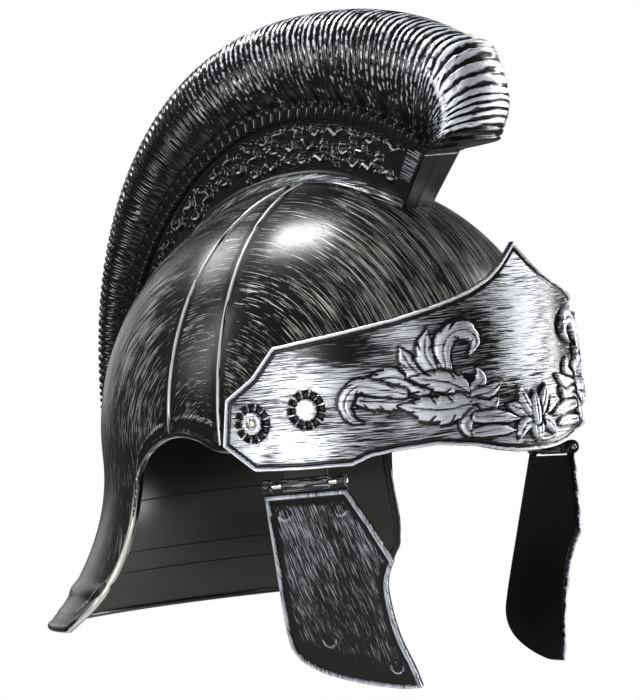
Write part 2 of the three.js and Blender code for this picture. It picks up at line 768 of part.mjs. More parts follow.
// Assembly
const finishes = {
  bowl: { color: 0x2b2b2d, roughness: 0.34, metalness: 0.55 },
  crest: { color: 0x26272b, roughness: 0.36, metalness: 0.5 },
  plate: { color: 0xa9aeb6, roughness: 0.3, metalness: 0.75 },
  cheek: { color: 0x3a3b3e, roughness: 0.36, metalness: 0.6 },
  steel: { color: 0xc9c9c4, roughness: 0.28, metalness: 0.9 },
};

const helmet = new THREE.Group();

function addPiece(name, solid, finish) {
  const mesh = new THREE.Mesh(geometryOf(solid), new THREE.MeshStandardMaterial(finishes[finish]));
  mesh.name = name;
  helmet.add(mesh);
}

const bowlSolid = [-1, 1].reduce((solid, side) => solid.subtract(screwHole(side)), makeBowl());
addPiece("bowl", bowlSolid, "bowl");
addPiece("crest_holder", makeHolder(), "crest");
addPiece("crest", makeCrest(), "crest");
addPiece("brow_plate", makePlate(), "plate");
addPiece("screw_right", makeScrew(-1), "steel");
addPiece("screw_left", makeScrew(1), "steel");

const pinSolid = makePin();
const cheekSolid = makeCheek();
addPiece("hinge_pin_right", pinSolid, "steel");
addPiece("hinge_pin_left", solidOf(mirrored(geometryOf(pinSolid))), "steel");
addPiece("cheek_guard_right", cheekSolid, "cheek");
addPiece("cheek_guard_left", solidOf(mirrored(geometryOf(cheekSolid))), "cheek");

export default helmet;
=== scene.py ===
# %% [markdown]
# A costume helmet in the Roman style, dressed for a studio view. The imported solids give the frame: every
# piece below is drawn again in the same place with the fine forms that the solids leave out, such as ribs,
# beads, leaves and brushed paint. All sizes are worked out in millimetres and turned into metres at the end.

# %% Load the frame
import json
import math

import bmesh
import bpy
import numpy as np
from mathutils import Matrix, Vector

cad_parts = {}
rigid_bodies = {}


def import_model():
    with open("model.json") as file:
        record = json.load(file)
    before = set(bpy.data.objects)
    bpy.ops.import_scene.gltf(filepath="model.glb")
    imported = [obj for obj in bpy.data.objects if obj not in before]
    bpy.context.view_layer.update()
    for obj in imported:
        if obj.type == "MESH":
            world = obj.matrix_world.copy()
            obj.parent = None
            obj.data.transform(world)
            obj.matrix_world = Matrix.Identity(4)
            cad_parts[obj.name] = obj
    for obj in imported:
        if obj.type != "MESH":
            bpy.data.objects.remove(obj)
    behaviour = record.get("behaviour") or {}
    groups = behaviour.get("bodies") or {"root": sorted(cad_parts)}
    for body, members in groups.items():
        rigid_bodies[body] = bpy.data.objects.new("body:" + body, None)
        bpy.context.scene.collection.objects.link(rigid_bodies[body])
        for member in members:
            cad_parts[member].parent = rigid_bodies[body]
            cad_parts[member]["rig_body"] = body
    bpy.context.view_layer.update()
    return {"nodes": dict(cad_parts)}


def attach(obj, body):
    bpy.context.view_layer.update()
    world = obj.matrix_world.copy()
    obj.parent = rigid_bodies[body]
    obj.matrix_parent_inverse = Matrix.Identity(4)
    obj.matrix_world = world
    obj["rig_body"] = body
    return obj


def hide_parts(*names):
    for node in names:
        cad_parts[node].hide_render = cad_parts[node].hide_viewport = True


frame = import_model()
scene = bpy.context.scene
print("frame holds", sorted(frame["nodes"]))

# %% [markdown]
# The camera stands level with the bowl, in front and to the wearer's right, far back behind a long lens, and
# is turned a little about its own axis because the helmet was held slightly tipped.

# %% Camera
azimuth = math.radians(-49.2)
elevation = math.radians(0.9)
roll = math.radians(-6)
target = Vector((0, 0.0122, -0.078))
distance = 3.0


def new_object(name, data):
    made = bpy.data.objects.new(name, data)
    scene.collection.objects.link(made)
    return made


towards = Vector((math.sin(azimuth) * math.cos(elevation),
                  -math.cos(azimuth) * math.cos(elevation),
                  math.sin(elevation)))
level_right = Vector((math.cos(azimuth), math.sin(azimuth), 0))
level_up = towards.cross(level_right)
image_right = level_right * math.cos(roll) + level_up * math.sin(roll)
image_up = level_up * math.cos(roll) - level_right * math.sin(roll)
camera_data = bpy.data.cameras.new("camera")
camera_data.lens = 324
camera_data.sensor_width = 36
camera_data.clip_end = 200
camera = new_object("camera", camera_data)
turn = Matrix((image_right, image_up, towards)).transposed().to_4x4()
camera.matrix_world = Matrix.Translation(target + towards * distance) @ turn
scene.camera = camera
print("camera at", [round(v, 3) for v in camera.location])

# %% [markdown]
# The studio looks white all round but lights the helmet only dimly, so that seven soft boxes draw its form:
# some overhead and behind for the top of the dome, some at the sides for the bright upright bands on the brow
# plate. The floor lies below the hanging cheek guards, because a head or a stand would hold the helmet up.
# Two helpers make all nodes: an input is given either a value or the output of another node.

# %% Studio
middle = Vector((0, 0, -0.08))
floor_radius, floor_z, floor_corners = 0.5, -0.45, 96
soft_boxes = [  # name, direction from the middle, distance, width, height in metres, power in watts
    ("overhead", (-0.07, 0.24, 0.97), 1.3, 0.26, 0.5, 26),
    ("top_back", (-0.05, 0.7, 0.7), 1.5, 0.5, 0.24, 5),
    ("right_side", (0.927, -0.375, 0.03), 1.4, 0.2, 1.6, 25),
    ("left_end", (-0.98, -0.06, 0.04), 1.4, 0.42, 0.5, 12),
    ("near_strip", (-0.54, -0.84, 0.02), 2.0, 0.14, 2.0, 7),
    ("left_back", (-0.62, 0.63, 0.46), 1.5, 0.22, 0.6, 3.0),
    ("back_rim", (0.45, 0.9, 0.3), 1.6, 0.8, 0.9, 1.6),
]


def plug(tree, node, inputs):
    for name, value in inputs.items():
        if isinstance(value, bpy.types.NodeSocket):
            tree.links.new(value, node.inputs[name])
        else:
            node.inputs[name].default_value = value


def add_node(tree, kind, inputs=None, **settings):
    node = tree.nodes.new(kind)
    for name, choice in settings.items():
        setattr(node, name, choice)
    plug(tree, node, inputs or {})
    return node


def new_material(name):
    """A material with its tree and its shader node."""
    material = bpy.data.materials.new(name)
    material.use_nodes = True
    return material, material.node_tree, material.node_tree.nodes["Principled BSDF"]


def soft_box(name, direction, away, width, height, power):
    data = bpy.data.lights.new(name, "AREA")
    data.shape = "RECTANGLE"
    data.size = width
    data.size_y = height
    data.energy = power
    lamp = new_object(name, data)
    lamp.location = middle + Vector(direction).normalized() * away
    lamp.rotation_mode = "QUATERNION"
    lamp.rotation_quaternion = (lamp.location - middle).to_track_quat("Z", "Y")


scene.view_settings.view_transform = "Standard"
scene.view_settings.look = "None"
world = bpy.data.worlds.new("studio")
scene.world = world
world.use_nodes = True
sky = world.node_tree
sky.nodes.clear()
seen = add_node(sky, "ShaderNodeBackground", {"Color": (1, 1, 1, 1)})
fill = add_node(sky, "ShaderNodeBackground", {"Color": (0.95, 0.97, 1, 1), "Strength": 0.13})
ray = add_node(sky, "ShaderNodeLightPath")
which = add_node(sky, "ShaderNodeMixShader", {
    0: ray.outputs["Is Camera Ray"], 1: fill.outputs[0], 2: seen.outputs[0]})
add_node(sky, "ShaderNodeOutputWorld", {"Surface": which.outputs[0]})
for row in soft_boxes:
    soft_box(*row)

floor_mesh = bpy.data.meshes.new("floor")
floor_turns = [2 * math.pi * i / floor_corners for i in range(floor_corners)]
floor_ring = [(floor_radius * math.cos(a), floor_radius * math.sin(a), floor_z) for a in floor_turns]
floor_mesh.from_pydata(floor_ring, [], [range(floor_corners)])
floor = new_object("floor", floor_mesh)
floor_paint, floor_tree, floor_shader = new_material("floor_paint")
plug(floor_tree, floor_shader, {"Base Color": (0.7, 0.7, 0.7, 1), "Roughness": 0.9})
floor_mesh.materials.append(floor_paint)
print("studio has", len(soft_boxes), "soft boxes")

# %% [markdown]
# The whole helmet is glossy black plastic with silver paint dragged over it by a nearly dry brush. Paint
# stays on the high places and lies in thin streaks that follow the stroke. Each piece therefore carries two
# attributes: "brush" holds the distance along and across the stroke in millimetres, and "cover" says how much
# paint stays. The material stretches noise along the stroke and cuts it off at a level that "cover" sets. A
# cover below nought means plastic that no brush touched, which is duller and a little lighter; inside the
# bowl that lighter tone grows towards the lower edge as painted light.

# %% Paint material
# The lighter bare tone also serves as painted light on the inside of the bowl.
bare_black_and_painted_light = (0.02, 0.0185, 0.016, 1)
warm_black = (0.0055, 0.0053, 0.0047, 1)
cold_black = (0.005, 0.0052, 0.006, 1)
warm_silver = (0.54, 0.54, 0.51, 1)
cold_silver = (0.62, 0.64, 0.69, 1)
bright_silver = (0.8, 0.82, 0.87, 1)


def value_node(tree, operation, *values):
    return add_node(tree, "ShaderNodeMath", dict(enumerate(values)), operation=operation).outputs[0]


def ramp_node(tree, value, low, high):
    """A smooth rise from 0 to 1 between two values."""
    node = add_node(tree, "ShaderNodeMapRange", {"From Min": low, "From Max": high, "Value": value},
                    interpolation_type="SMOOTHSTEP")
    return node.outputs["Result"]


def colour_node(tree, share, first, second):
    node = add_node(tree, "ShaderNodeMix", {"Factor": share, "A": first, "B": second}, data_type="RGBA")
    return node.outputs["Result"]


def streaks(tree, vector, length, width, detail, seed):
    mapping = add_node(tree, "ShaderNodeMapping", {
        "Scale": (1 / length, 1 / width, 1), "Location": (seed, seed * 0.7, seed), "Vector": vector})
    noise = add_node(tree, "ShaderNodeTexNoise", {
        "Scale": 1, "Detail": detail, "Roughness": 0.6, "Vector": mapping.outputs[0]})
    return noise.outputs["Fac"]


def brushed_material(name, stroke, softness, black, silver, gloss, metal, shine):
    """Stroke is the length and width of a streak; softness blurs its edges."""
    material, tree, shader = new_material(name)

    def worked(operation, *values):
        return value_node(tree, operation, *values)

    brush = add_node(tree, "ShaderNodeAttribute", attribute_name="brush").outputs["Vector"]
    cover = add_node(tree, "ShaderNodeAttribute", attribute_name="cover").outputs["Fac"]
    place = add_node(tree, "ShaderNodeTexCoord").outputs["Object"]
    sway = add_node(tree, "ShaderNodeTexNoise", {"Scale": 12, "Detail": 1, "Vector": place}).outputs["Color"]
    swayed = {0: sway, 1: (4, 7, 0), 2: brush}
    vector = add_node(tree, "ShaderNodeVectorMath", swayed, operation="MULTIPLY_ADD").outputs[0]
    length, width = stroke
    fine = streaks(tree, vector, length, width, 3, 3.1)
    broad = streaks(tree, vector, length * 1.6, width * 3, 2, 8.7)
    patches = streaks(tree, vector, 34, 16, 2, 5.3)
    mixed = worked("MULTIPLY_ADD", fine, 0.72, worked("MULTIPLY", broad, 0.12))
    mixed = worked("MULTIPLY_ADD", patches, 0.16, mixed)
    level = worked("MULTIPLY_ADD", cover, -0.5, 0.75)
    thin = worked("MINIMUM", worked("MULTIPLY_ADD", cover, 0.9, 0.36), 1.0)
    paint = worked("MULTIPLY", ramp_node(tree, worked("SUBTRACT", mixed, level), -softness, softness), thin)
    bare = worked("MAXIMUM", worked("MULTIPLY", cover, -1), 0)
    # Bare places mix towards the lighter tone, which inside the bowl is painted light.
    plastic_and_painted_light = colour_node(tree, worked("MULTIPLY", bare, 2.5), black, bare_black_and_painted_light)
    rough = worked("MULTIPLY_ADD", paint, 0.12, gloss)
    rough = worked("MULTIPLY_ADD", broad, 0.14, rough)
    scratched = worked("MAXIMUM", worked("MINIMUM", worked("MULTIPLY", cover, 2.0), 0.6), 0)
    bump = add_node(tree, "ShaderNodeBump", {
        "Strength": 0.35, "Distance": 0.00022, "Height": worked("MULTIPLY_ADD", fine, scratched, paint)})
    plug(tree, shader, {
        "Base Color": colour_node(tree, paint, plastic_and_painted_light, silver),
        "Metallic": worked("MULTIPLY", paint, metal),
        "Roughness": worked("MULTIPLY_ADD", bare, 0.9, rough),
        "Specular IOR Level": shine,
        "Normal": bump.outputs[0],
    })
    return material


bowl_paint = brushed_material("bowl_paint", (30, 0.4), 0.02, warm_black, warm_silver, 0.16, 0.5, 0.26)
crest_paint = brushed_material("crest_paint", (2.6, 5), 0.07, cold_black, bright_silver, 0.14, 0.5, 0.34)
holder_paint = brushed_material("holder_paint", (20, 0.6), 0.05, cold_black, cold_silver, 0.14, 0.5, 0.5)
plate_paint = brushed_material("plate_paint", (14, 0.42), 0.042, cold_black, bright_silver, 0.18, 0.5, 0.36)
cheek_paint = brushed_material("cheek_paint", (10, 0.3), 0.045, cold_black, cold_silver, 0.24, 0.4, 0.2)
print("paints:", [m.name for m in (bowl_paint, crest_paint, holder_paint, plate_paint, cheek_paint)])

# %% [markdown]
# Screws and hinge pins are bright steel. Fine noise varies its colour and its gloss, and a slight yellow cast
# sets it apart from the cold silver of the paint.

# %% Steel material
steel_colours = (0.48, 0.46, 0.41, 1), (0.78, 0.76, 0.70, 1)
steel, steel_tree, steel_shader = new_material("steel")
steel_place = add_node(steel_tree, "ShaderNodeTexCoord").outputs["Object"]
steel_noise = add_node(steel_tree, "ShaderNodeTexNoise", {"Scale": 900, "Detail": 3, "Vector": steel_place})
steel_grain = steel_noise.outputs["Fac"]
steel_ramp = add_node(steel_tree, "ShaderNodeValToRGB", {"Fac": steel_grain})
for stop, colour in zip(steel_ramp.color_ramp.elements, steel_colours):
    stop.color = colour
plug(steel_tree, steel_shader, {
    "Metallic": 1,
    "Base Color": steel_ramp.outputs["Color"],
    "Roughness": value_node(steel_tree, "MULTIPLY_ADD", steel_grain, 0.2, 0.16),
})
print("steel ready")

# %% [markdown]
# Meshes are worked out as arrays of points in millimetres. A grid of points becomes faces by one rule, and
# the helpers below make the object, shade it smooth and store its paint attributes.

# %% Mesh helpers
millimetre = 0.001


def grid_faces(rows, columns, closed=False, first=0):
    """Faces of a grid of points stored row by row; closed joins the last column to the first."""
    row = np.arange(rows - 1)[:, None]
    column = np.arange(columns if closed else columns - 1)[None, :]
    after = (column + 1) % columns
    corners = np.stack([
        row * columns + column,
        row * columns + after,
        (row + 1) * columns + after,
        (row + 1) * columns + column,
    ], axis=-1)
    return (corners.reshape(-1, 4) + first).tolist()


def flipped(faces):
    return [face[::-1] for face in faces]


def piece_from(name, points, faces, material, cover, along, across):
    mesh = bpy.data.meshes.new(name)
    mesh.from_pydata((np.asarray(points) * millimetre).tolist(), [], faces)
    mesh.validate()
    piece = new_object(name, mesh)
    mesh.materials.append(material)
    mesh.polygons.foreach_set("use_smooth", np.ones(len(mesh.polygons), bool))
    paint_on(piece, cover, along, across)
    return piece


def paint_on(piece, cover, along, across):
    """Stores the cover at every vertex, and its distance along and across the stroke."""
    mesh = piece.data
    count = len(mesh.vertices)
    store = mesh.attributes.get("cover") or mesh.attributes.new("cover", "FLOAT", "POINT")
    store.data.foreach_set("value", np.broadcast_to(cover, count).astype(np.float32))
    strokes = np.zeros((count, 3), np.float32)
    strokes[:, 0] = along
    strokes[:, 1] = across
    store = mesh.attributes.get("brush") or mesh.attributes.new("brush", "FLOAT_VECTOR", "POINT")
    store.data.foreach_set("vector", strokes.ravel())


def tidied(piece, weld, fill_holes=False):
    """Welds points closer than a distance in metres, fills holes if asked and turns all faces outwards."""
    work = bmesh.new()
    work.from_mesh(piece.data)
    bmesh.ops.remove_doubles(work, verts=work.verts, dist=weld)
    if fill_holes:
        bmesh.ops.holes_fill(work, edges=[edge for edge in work.edges if edge.is_boundary], sides=0)
    bmesh.ops.recalc_face_normals(work, faces=work.faces)
    work.to_mesh(piece.data)
    work.free()


def points_of(piece):
    """The piece's vertices in millimetres."""
    flat = np.zeros(len(piece.data.vertices) * 3, np.float32)
    piece.data.vertices.foreach_get("co", flat)
    return flat.reshape(-1, 3) / millimetre


def join_pieces(name, pieces):
    bpy.ops.object.select_all(action="DESELECT")
    for piece in pieces:
        piece.select_set(True)
    bpy.context.view_layer.objects.active = pieces[0]
    bpy.ops.object.join()
    pieces[0].name = name
    pieces[0].data.name = name
    return pieces[0]


def triangle_count(piece):
    return sum(len(polygon.vertices) - 2 for polygon in piece.data.polygons)


def spline_through(points, count):
    """Points on a smooth curve through the given ones, evenly numbered between them."""
    points = np.asarray(points, float)
    padded = np.vstack([2 * points[0] - points[1], points, 2 * points[-1] - points[-2]])
    places = np.linspace(0, len(points) - 1, count)
    index = np.minimum(places.astype(int), len(points) - 2)
    t = (places - index)[:, None]
    before, start, end, after = (padded[index + k] for k in range(4))
    return 0.5 * (2 * start + (end - before) * t
                  + (2 * before - 5 * start + 4 * end - after) * t ** 2
                  + (3 * start - before - 3 * end + after) * t ** 3)


def signed_power(value, power):
    return np.sign(value) * np.abs(value) ** power


def smooth_step(low, high, value):
    """A smooth rise from 0 at low to 1 at high; a fall when low is the greater."""
    share = np.clip((value - low) / (high - low), 0, 1)
    return share * share * (3 - 2 * share)


def hump(value, middle, spread):
    """A bell curve of height 1."""
    return np.exp(-((value - middle) / spread) ** 2)

# %% [markdown]
# Geometry Nodes make what follows a path: beads and rolled edges are one tube swept along a line. The line is
# the object's own mesh, and the radius, number of sides and material are inputs of the tree.

# %% Swept tube tree
def new_tree(name, inputs):
    """An empty tree whose inputs are rows of name, kind and, if it has one, default value."""
    tree = bpy.data.node_groups.new(name, "GeometryNodeTree")
    tree.interface.new_socket("Geometry", in_out="OUTPUT", socket_type="NodeSocketGeometry")
    for label, kind, *default in inputs:
        socket = tree.interface.new_socket(label, in_out="INPUT", socket_type="NodeSocket" + kind)
        if default:
            socket.default_value = default[0]
    return tree


def link_chain(tree, material, *nodes):
    """Joins each node's first output to the next one's first input, then shades, paints and hands out."""
    ends = [
        add_node(tree, "GeometryNodeRealizeInstances"),
        add_node(tree, "GeometryNodeSetShadeSmooth"),
        add_node(tree, "GeometryNodeSetMaterial", {"Material": material}),
        add_node(tree, "NodeGroupOutput"),
    ]
    chain = list(nodes) + ends
    for before, after in zip(chain, chain[1:]):
        tree.links.new(before.outputs[0], after.inputs[0])


def made_by_nodes(name, tree, inputs, line=None):
    """Runs a tree on a line of points in millimetres (or on nothing) and keeps the result as a plain mesh."""
    mesh = bpy.data.meshes.new(name)
    if line is not None:
        edges = [(i, i + 1) for i in range(len(line) - 1)]
        mesh.from_pydata((np.asarray(line) * millimetre).tolist(), edges, [])
    piece = new_object(name, mesh)
    modifier = piece.modifiers.new("nodes", "NODES")
    modifier.node_group = tree
    identifiers = {item.name: item.identifier for item in tree.interface.items_tree}
    for label, value in inputs.items():
        modifier[identifiers[label]] = value
    bpy.context.view_layer.update()
    graph = bpy.context.evaluated_depsgraph_get()
    result = bpy.data.meshes.new_from_object(piece.evaluated_get(graph), depsgraph=graph)
    piece.modifiers.remove(modifier)
    piece.data = result
    return piece


tube_tree = new_tree("swept_tube", [
    ("Path", "Geometry"), ("Radius", "Float", 0.001), ("Sides", "Int", 10), ("Material", "Material")])
tube_in = add_node(tube_tree, "NodeGroupInput")
tube_line = add_node(tube_tree, "GeometryNodeMeshToCurve")
tube_circle = add_node(tube_tree, "GeometryNodeCurvePrimitiveCircle", {
    "Radius": tube_in.outputs["Radius"], "Resolution": tube_in.outputs["Sides"]})
tube_sweep = add_node(tube_tree, "GeometryNodeCurveToMesh", {
    "Profile Curve": tube_circle.outputs[0], "Fill Caps": True})
link_chain(tube_tree, tube_in.outputs["Material"], tube_in, tube_line, tube_sweep)


def swept(name, line, radius, material, sides=10):
    inputs = {"Radius": radius * millimetre, "Sides": sides, "Material": material}
    return made_by_nodes(name, tube_tree, inputs, line)


print("tree", tube_tree.name, "has", len(tube_tree.nodes), "nodes")

# %% [markdown]
# The bowl is one moulded shell: an ellipsoid above its widest level, nearly straight below it, then flaring
# to the neck rim, with its lower edge cut away over the ears. A boolean cut would leave ragged faces along
# that edge, so the grid's columns run from the top of the dome straight to points along the edge itself.

# %% Bowl shape
wall = 2.5
bowl_half_width, bowl_front, bowl_back = 100, 106, 127
widest_z, flare_top_z, rim_z = -115.5, -120, -196
side_flare, back_flare = 32, 35
bowl_roundness = 2.1
neck_rib_z, neck_rib_half, neck_rib_raise = -179, 3.4, 1.2
front_edge_z = -118
ear_edge = [  # y, z from behind the brow plate over the ear to the corner of the neck guard
    (-30, -118), (-8, -117.5), (6, -111.5), (19, -108.8), (33, -111.2), (46, -118),
    (55, -129), (58, -150), (63, -170), (74, -185), (91, -196),
]


def bowl_section(z, outward=0.0):
    """Half width and reach to the front and back at a height; outward moves the whole face."""
    apex = wall + outward
    rise = np.clip((z - widest_z) / (apex - widest_z), 0, 1)
    dome = np.sqrt(1 - rise * rise)
    flare = np.clip((flare_top_z - z) / (flare_top_z - rim_z), 0, None) ** 2
    from_rib = (z - neck_rib_z) / neck_rib_half
    rib = 0 if outward < 0 else neck_rib_raise * np.clip(1 - from_rib ** 2, 0, None)
    side = (bowl_half_width + outward) * dome + side_flare * flare + rib
    front = (bowl_front + outward) * dome
    back = (bowl_back + outward) * dome + back_flare * flare + rib
    return side, front, back


def bowl_point(angle, z, outward=0.0, raised=0.0):
    """A point of the bowl: the angle runs from the wearer's left side towards the back."""
    angle, z = np.broadcast_arrays(np.asarray(angle, float), np.asarray(z, float))
    side, front, back = bowl_section(z, outward)
    depth = np.where(np.sin(angle) < 0, front, back)
    x = (side + raised) * signed_power(np.cos(angle), 2 / bowl_roundness)
    y = (depth + raised) * signed_power(np.sin(angle), 2 / bowl_roundness)
    return np.stack([x, y, z], axis=-1)


def bowl_angle(y, z):
    """The angle at which the left side of the bowl has this y."""
    side, front, back = bowl_section(z)
    share = np.abs(y) / np.where(y < 0, front, back)
    return np.sign(y) * np.arcsin(np.clip(share, 0, 1) ** (bowl_roundness / 2))


def lower_edge():
    """Angle and height along the lower edge of the left half, from the middle of the front to the back."""
    ear = spline_through(ear_edge, 170)
    ear_angles = bowl_angle(ear[:, 0], ear[:, 1])
    front_angles = np.linspace(-math.pi / 2, ear_angles[0], 44)[:-1]
    rim_angles = np.linspace(ear_angles[-1], math.pi / 2, 64)[1:]
    angles = np.concatenate([front_angles, ear_angles, rim_angles])
    heights = [np.full(len(front_angles), front_edge_z), ear[:, 1], np.full(len(rim_angles), rim_z)]
    return angles, np.concatenate(heights)


edge_angles, edge_heights = lower_edge()
edge_points = bowl_point(edge_angles, edge_heights)
print("half of the lower edge has", len(edge_angles), "points")

# %% [markdown]
# Above a belt round the dome the rows are level rings. Below it they bend down to the edge, where they lie
# closer together. A low border runs along the edge, except behind the brow plate.

# %% Bowl grid
belt_z = -70.0
outer_rows, inner_rows = (46, 62), (20, 24)  # rows of the dome and of the skirt
border_from_edge, border_half = 9.5, 1.3
steps = np.linalg.norm(np.diff(edge_points, axis=0), axis=1)
spread = np.abs(np.diff(edge_angles)) + 0.006 * steps
belt_angles = -math.pi / 2 + math.pi * np.concatenate([[0], np.cumsum(spread)]) / spread.sum()
all_edge_angles = np.concatenate([edge_angles, math.pi - edge_angles[-2:0:-1]])
all_edge_heights = np.concatenate([edge_heights, edge_heights[-2:0:-1]])
all_belt_angles = np.concatenate([belt_angles, math.pi - belt_angles[-2:0:-1]])
column_count = len(all_edge_angles)


def bowl_rows(outward, dome_rows, skirt_rows):
    """Angles and heights of a face of the bowl, row by row from the top of the dome to the lower edge."""
    apex = wall + outward
    belt_tilt = math.acos((belt_z - widest_z) / (apex - widest_z))
    tilts = np.linspace(0.01, belt_tilt, dome_rows)
    dome_z = widest_z + (apex - widest_z) * np.cos(tilts)
    dome_shape = (dome_rows, column_count)
    dome_angles = np.broadcast_to(all_belt_angles, dome_shape)
    dome_heights = np.broadcast_to(dome_z[:, None], dome_shape)
    down = np.linspace(0, 1, skirt_rows + 1)[1:, None]
    down = 1 - (1 - down) ** 1.25
    angles = all_belt_angles + down * (all_edge_angles - all_belt_angles)
    heights = belt_z + down * (all_edge_heights - belt_z)
    return np.vstack([dome_angles, angles]), np.vstack([dome_heights, heights])


outer_angles, outer_heights = bowl_rows(0.0, *outer_rows)
inner_angles, inner_heights = bowl_rows(-wall, *inner_rows)
plain_outer = bowl_point(outer_angles, outer_heights)
from_edge = np.linalg.norm(np.diff(plain_outer, axis=0), axis=2)
from_edge = np.vstack([np.cumsum(from_edge[::-1], axis=0)[::-1], np.zeros(column_count)])
border = 0.7 * hump(from_edge, border_from_edge, border_half)
border = border + 0.5 * smooth_step(border_from_edge, 5.0, from_edge)
on_neck = smooth_step(-112, -118, outer_heights) + smooth_step(-100, -112, outer_heights)
outer_points = bowl_point(outer_angles, outer_heights, 0.0, border * np.clip(on_neck, 0, 1))
inner_points = bowl_point(inner_angles, inner_heights, -wall)
print("bowl grid is", outer_points.shape[0], "by", column_count)

# %% [markdown]
# The silver on the bowl was brushed from front to back in arcs, like wiping a ball from ear to ear. Strokes
# are therefore measured round the axis through both ears, and across it towards the ear.

# %% Bowl paint and piece
axis_z = -112.0
stroke_radius = 105
side_bead_angles = (-3.5, 10.5)
bead_steps = 90
silver_and_shade_places = [  # change in cover, then the ranges over which it sets in: direction, from, to
    (0.16, ("y", -24, -60)),
    (0.05, ("y", 20, 60)),
    (0.06, ("y", 12, 40), ("z", -118, -85)),
    (0.07, ("z", -25, -60), ("y", -45, -15), ("y", 90, 50)),
    # This row darkens the dome top beside the holder, under the crest, as painted shade.
    (-0.14, ("side", 34, 18), ("z", -75, -45), ("y", 30, 10), ("y", -40, -20)),
    (-0.06, ("z", -105, -135)),
]


def bowl_strokes(points):
    x, y, z = points[..., 0], points[..., 1], points[..., 2] - axis_z
    around = np.arctan2(y, z) * stroke_radius
    across = np.arctan2(x, np.hypot(y, z)) * stroke_radius
    return around, across


def bead_line(behind):
    """The line of one side bead on the wearer's left, from the ear edge to the crest holder."""
    angle = math.radians(behind)
    y_low = bowl_point(angle, front_edge_z)[1]
    ear_y, ear_z = np.array(ear_edge[:6]).T
    low = float(np.interp(y_low, ear_y, ear_z)) + 1
    steepest = math.acos((low - widest_z) / (wall - widest_z)) if low > widest_z else math.pi / 2
    heights = widest_z + (wall - widest_z) * np.cos(np.linspace(steepest, 0.12, bead_steps))
    return bowl_point(np.full(bead_steps, angle), heights, 0.0, -0.35)


def gap_to_line(points, line):
    """Distance of every point to the nearest point of a line."""
    nearest = np.full(len(points), 1e9)
    for place in line:
        nearest = np.minimum(nearest, ((points - place) ** 2).sum(1))
    return np.sqrt(nearest)


def bowl_cover(points, edge_distance):
    """Most silver stays in front and over the ears, least beside the beads and the edge; the dome top beside
    the holder, under the crest, is darkened as painted shade.
    """
    x, y, z = points[..., 0], points[..., 1], points[..., 2]
    distances = {"side": np.abs(x), "y": y, "z": z}
    cover = np.full(x.shape, 0.23)
    for change, *ranges in silver_and_shade_places:
        shares = [smooth_step(low, high, distances[direction]) for direction, low, high in ranges]
        cover = cover + change * np.prod(shares, axis=0)
    cover = cover + 0.12 * hump(np.abs(x), 48, 28) * hump(y, -4, 38) * smooth_step(-80, -40, z)
    cover = cover + 0.1 * hump(y, -22, 14) * smooth_step(-60, -85, z)
    left_half = points.reshape(-1, 3).copy()
    left_half[:, 0] = np.abs(left_half[:, 0])
    for behind in side_bead_angles:
        gap = gap_to_line(left_half, bead_line(behind)).reshape(x.shape)
        cover = cover - 0.32 * smooth_step(4.5, 2.2, gap)
    cover = cover - 0.28 * smooth_step(9.0, 5.0, edge_distance) * (edge_distance > 2.6)
    return cover + 0.16 * hump(edge_distance, border_from_edge, 1.4)


top_outer = bowl_point(0, wall - 1e-4)[None] * np.array([0, 0, 1])
top_inner = np.zeros((1, 3))
inner_start = 1 + len(outer_points) * column_count
bowl_verts = np.vstack([top_outer, outer_points.reshape(-1, 3), inner_points.reshape(-1, 3), top_inner])
bowl_faces = flipped(grid_faces(len(outer_points), column_count, True, 1))
bowl_faces += grid_faces(len(inner_points), column_count, True, inner_start)
last_outer = inner_start - column_count
last_inner = inner_start + (len(inner_points) - 1) * column_count
for i in range(column_count):
    j = (i + 1) % column_count
    bowl_faces.append([0, 1 + i, 1 + j])
    bowl_faces.append([len(bowl_verts) - 1, inner_start + j, inner_start + i])
    bowl_faces.append([last_outer + j, last_outer + i, last_inner + i, last_inner + j])
outer_cover = bowl_cover(outer_points, from_edge)
# Inside, the cover sinks towards the lower edge, so the bare tone lightens there: painted light near the open
# edge.
inner_cover_and_painted_light = -0.1 - 0.3 * smooth_step(-160, -190, inner_heights.ravel())
bowl_cover_all = np.concatenate([[0.3], outer_cover.ravel(), inner_cover_and_painted_light, [-0.12]])
bowl_along, bowl_across = bowl_strokes(bowl_verts)
bowl_skin = piece_from("bowl_skin", bowl_verts, bowl_faces, bowl_paint, bowl_cover_all,
                       bowl_along, bowl_across)
print("bowl skin:", triangle_count(bowl_skin), "triangles")

# %% [markdown]
# Two thin beads run up each side of the bowl from the ear to the crest holder, the lower edge is rolled, and
# three mould lines cross the inside of the neck guard. All are tubes swept along lines on the shell, partly
# sunk into it, and joined to it as one moulding.

# %% Bowl beads and rolled edge
bead_radius, rolled_radius, mould_radius = 1.05, 1.9, 0.35
mould_levels = (-143, -168, -178)
hidden_steps = 40  # points of the edge on each side of the front, left plain behind the brow plate


def unit_rows(vectors):
    return vectors / np.linalg.norm(vectors, axis=1)[:, None]


def run_along(line):
    """Distance from the start of a line to each of its points."""
    return np.concatenate([[0], np.cumsum(np.linalg.norm(np.diff(line, axis=0), axis=1))])


bowl_parts = [bowl_skin]
for behind in side_bead_angles:
    for sign in (-1, 1):
        bead = swept("side_bead", bead_line(behind) * np.array([sign, 1, 1]), bead_radius, bowl_paint)
        bead_points = points_of(bead)
        paint_on(bead, 0.58, bead_points[:, 2], bead_points[:, 1] * 0.3)
        bowl_parts.append(bead)

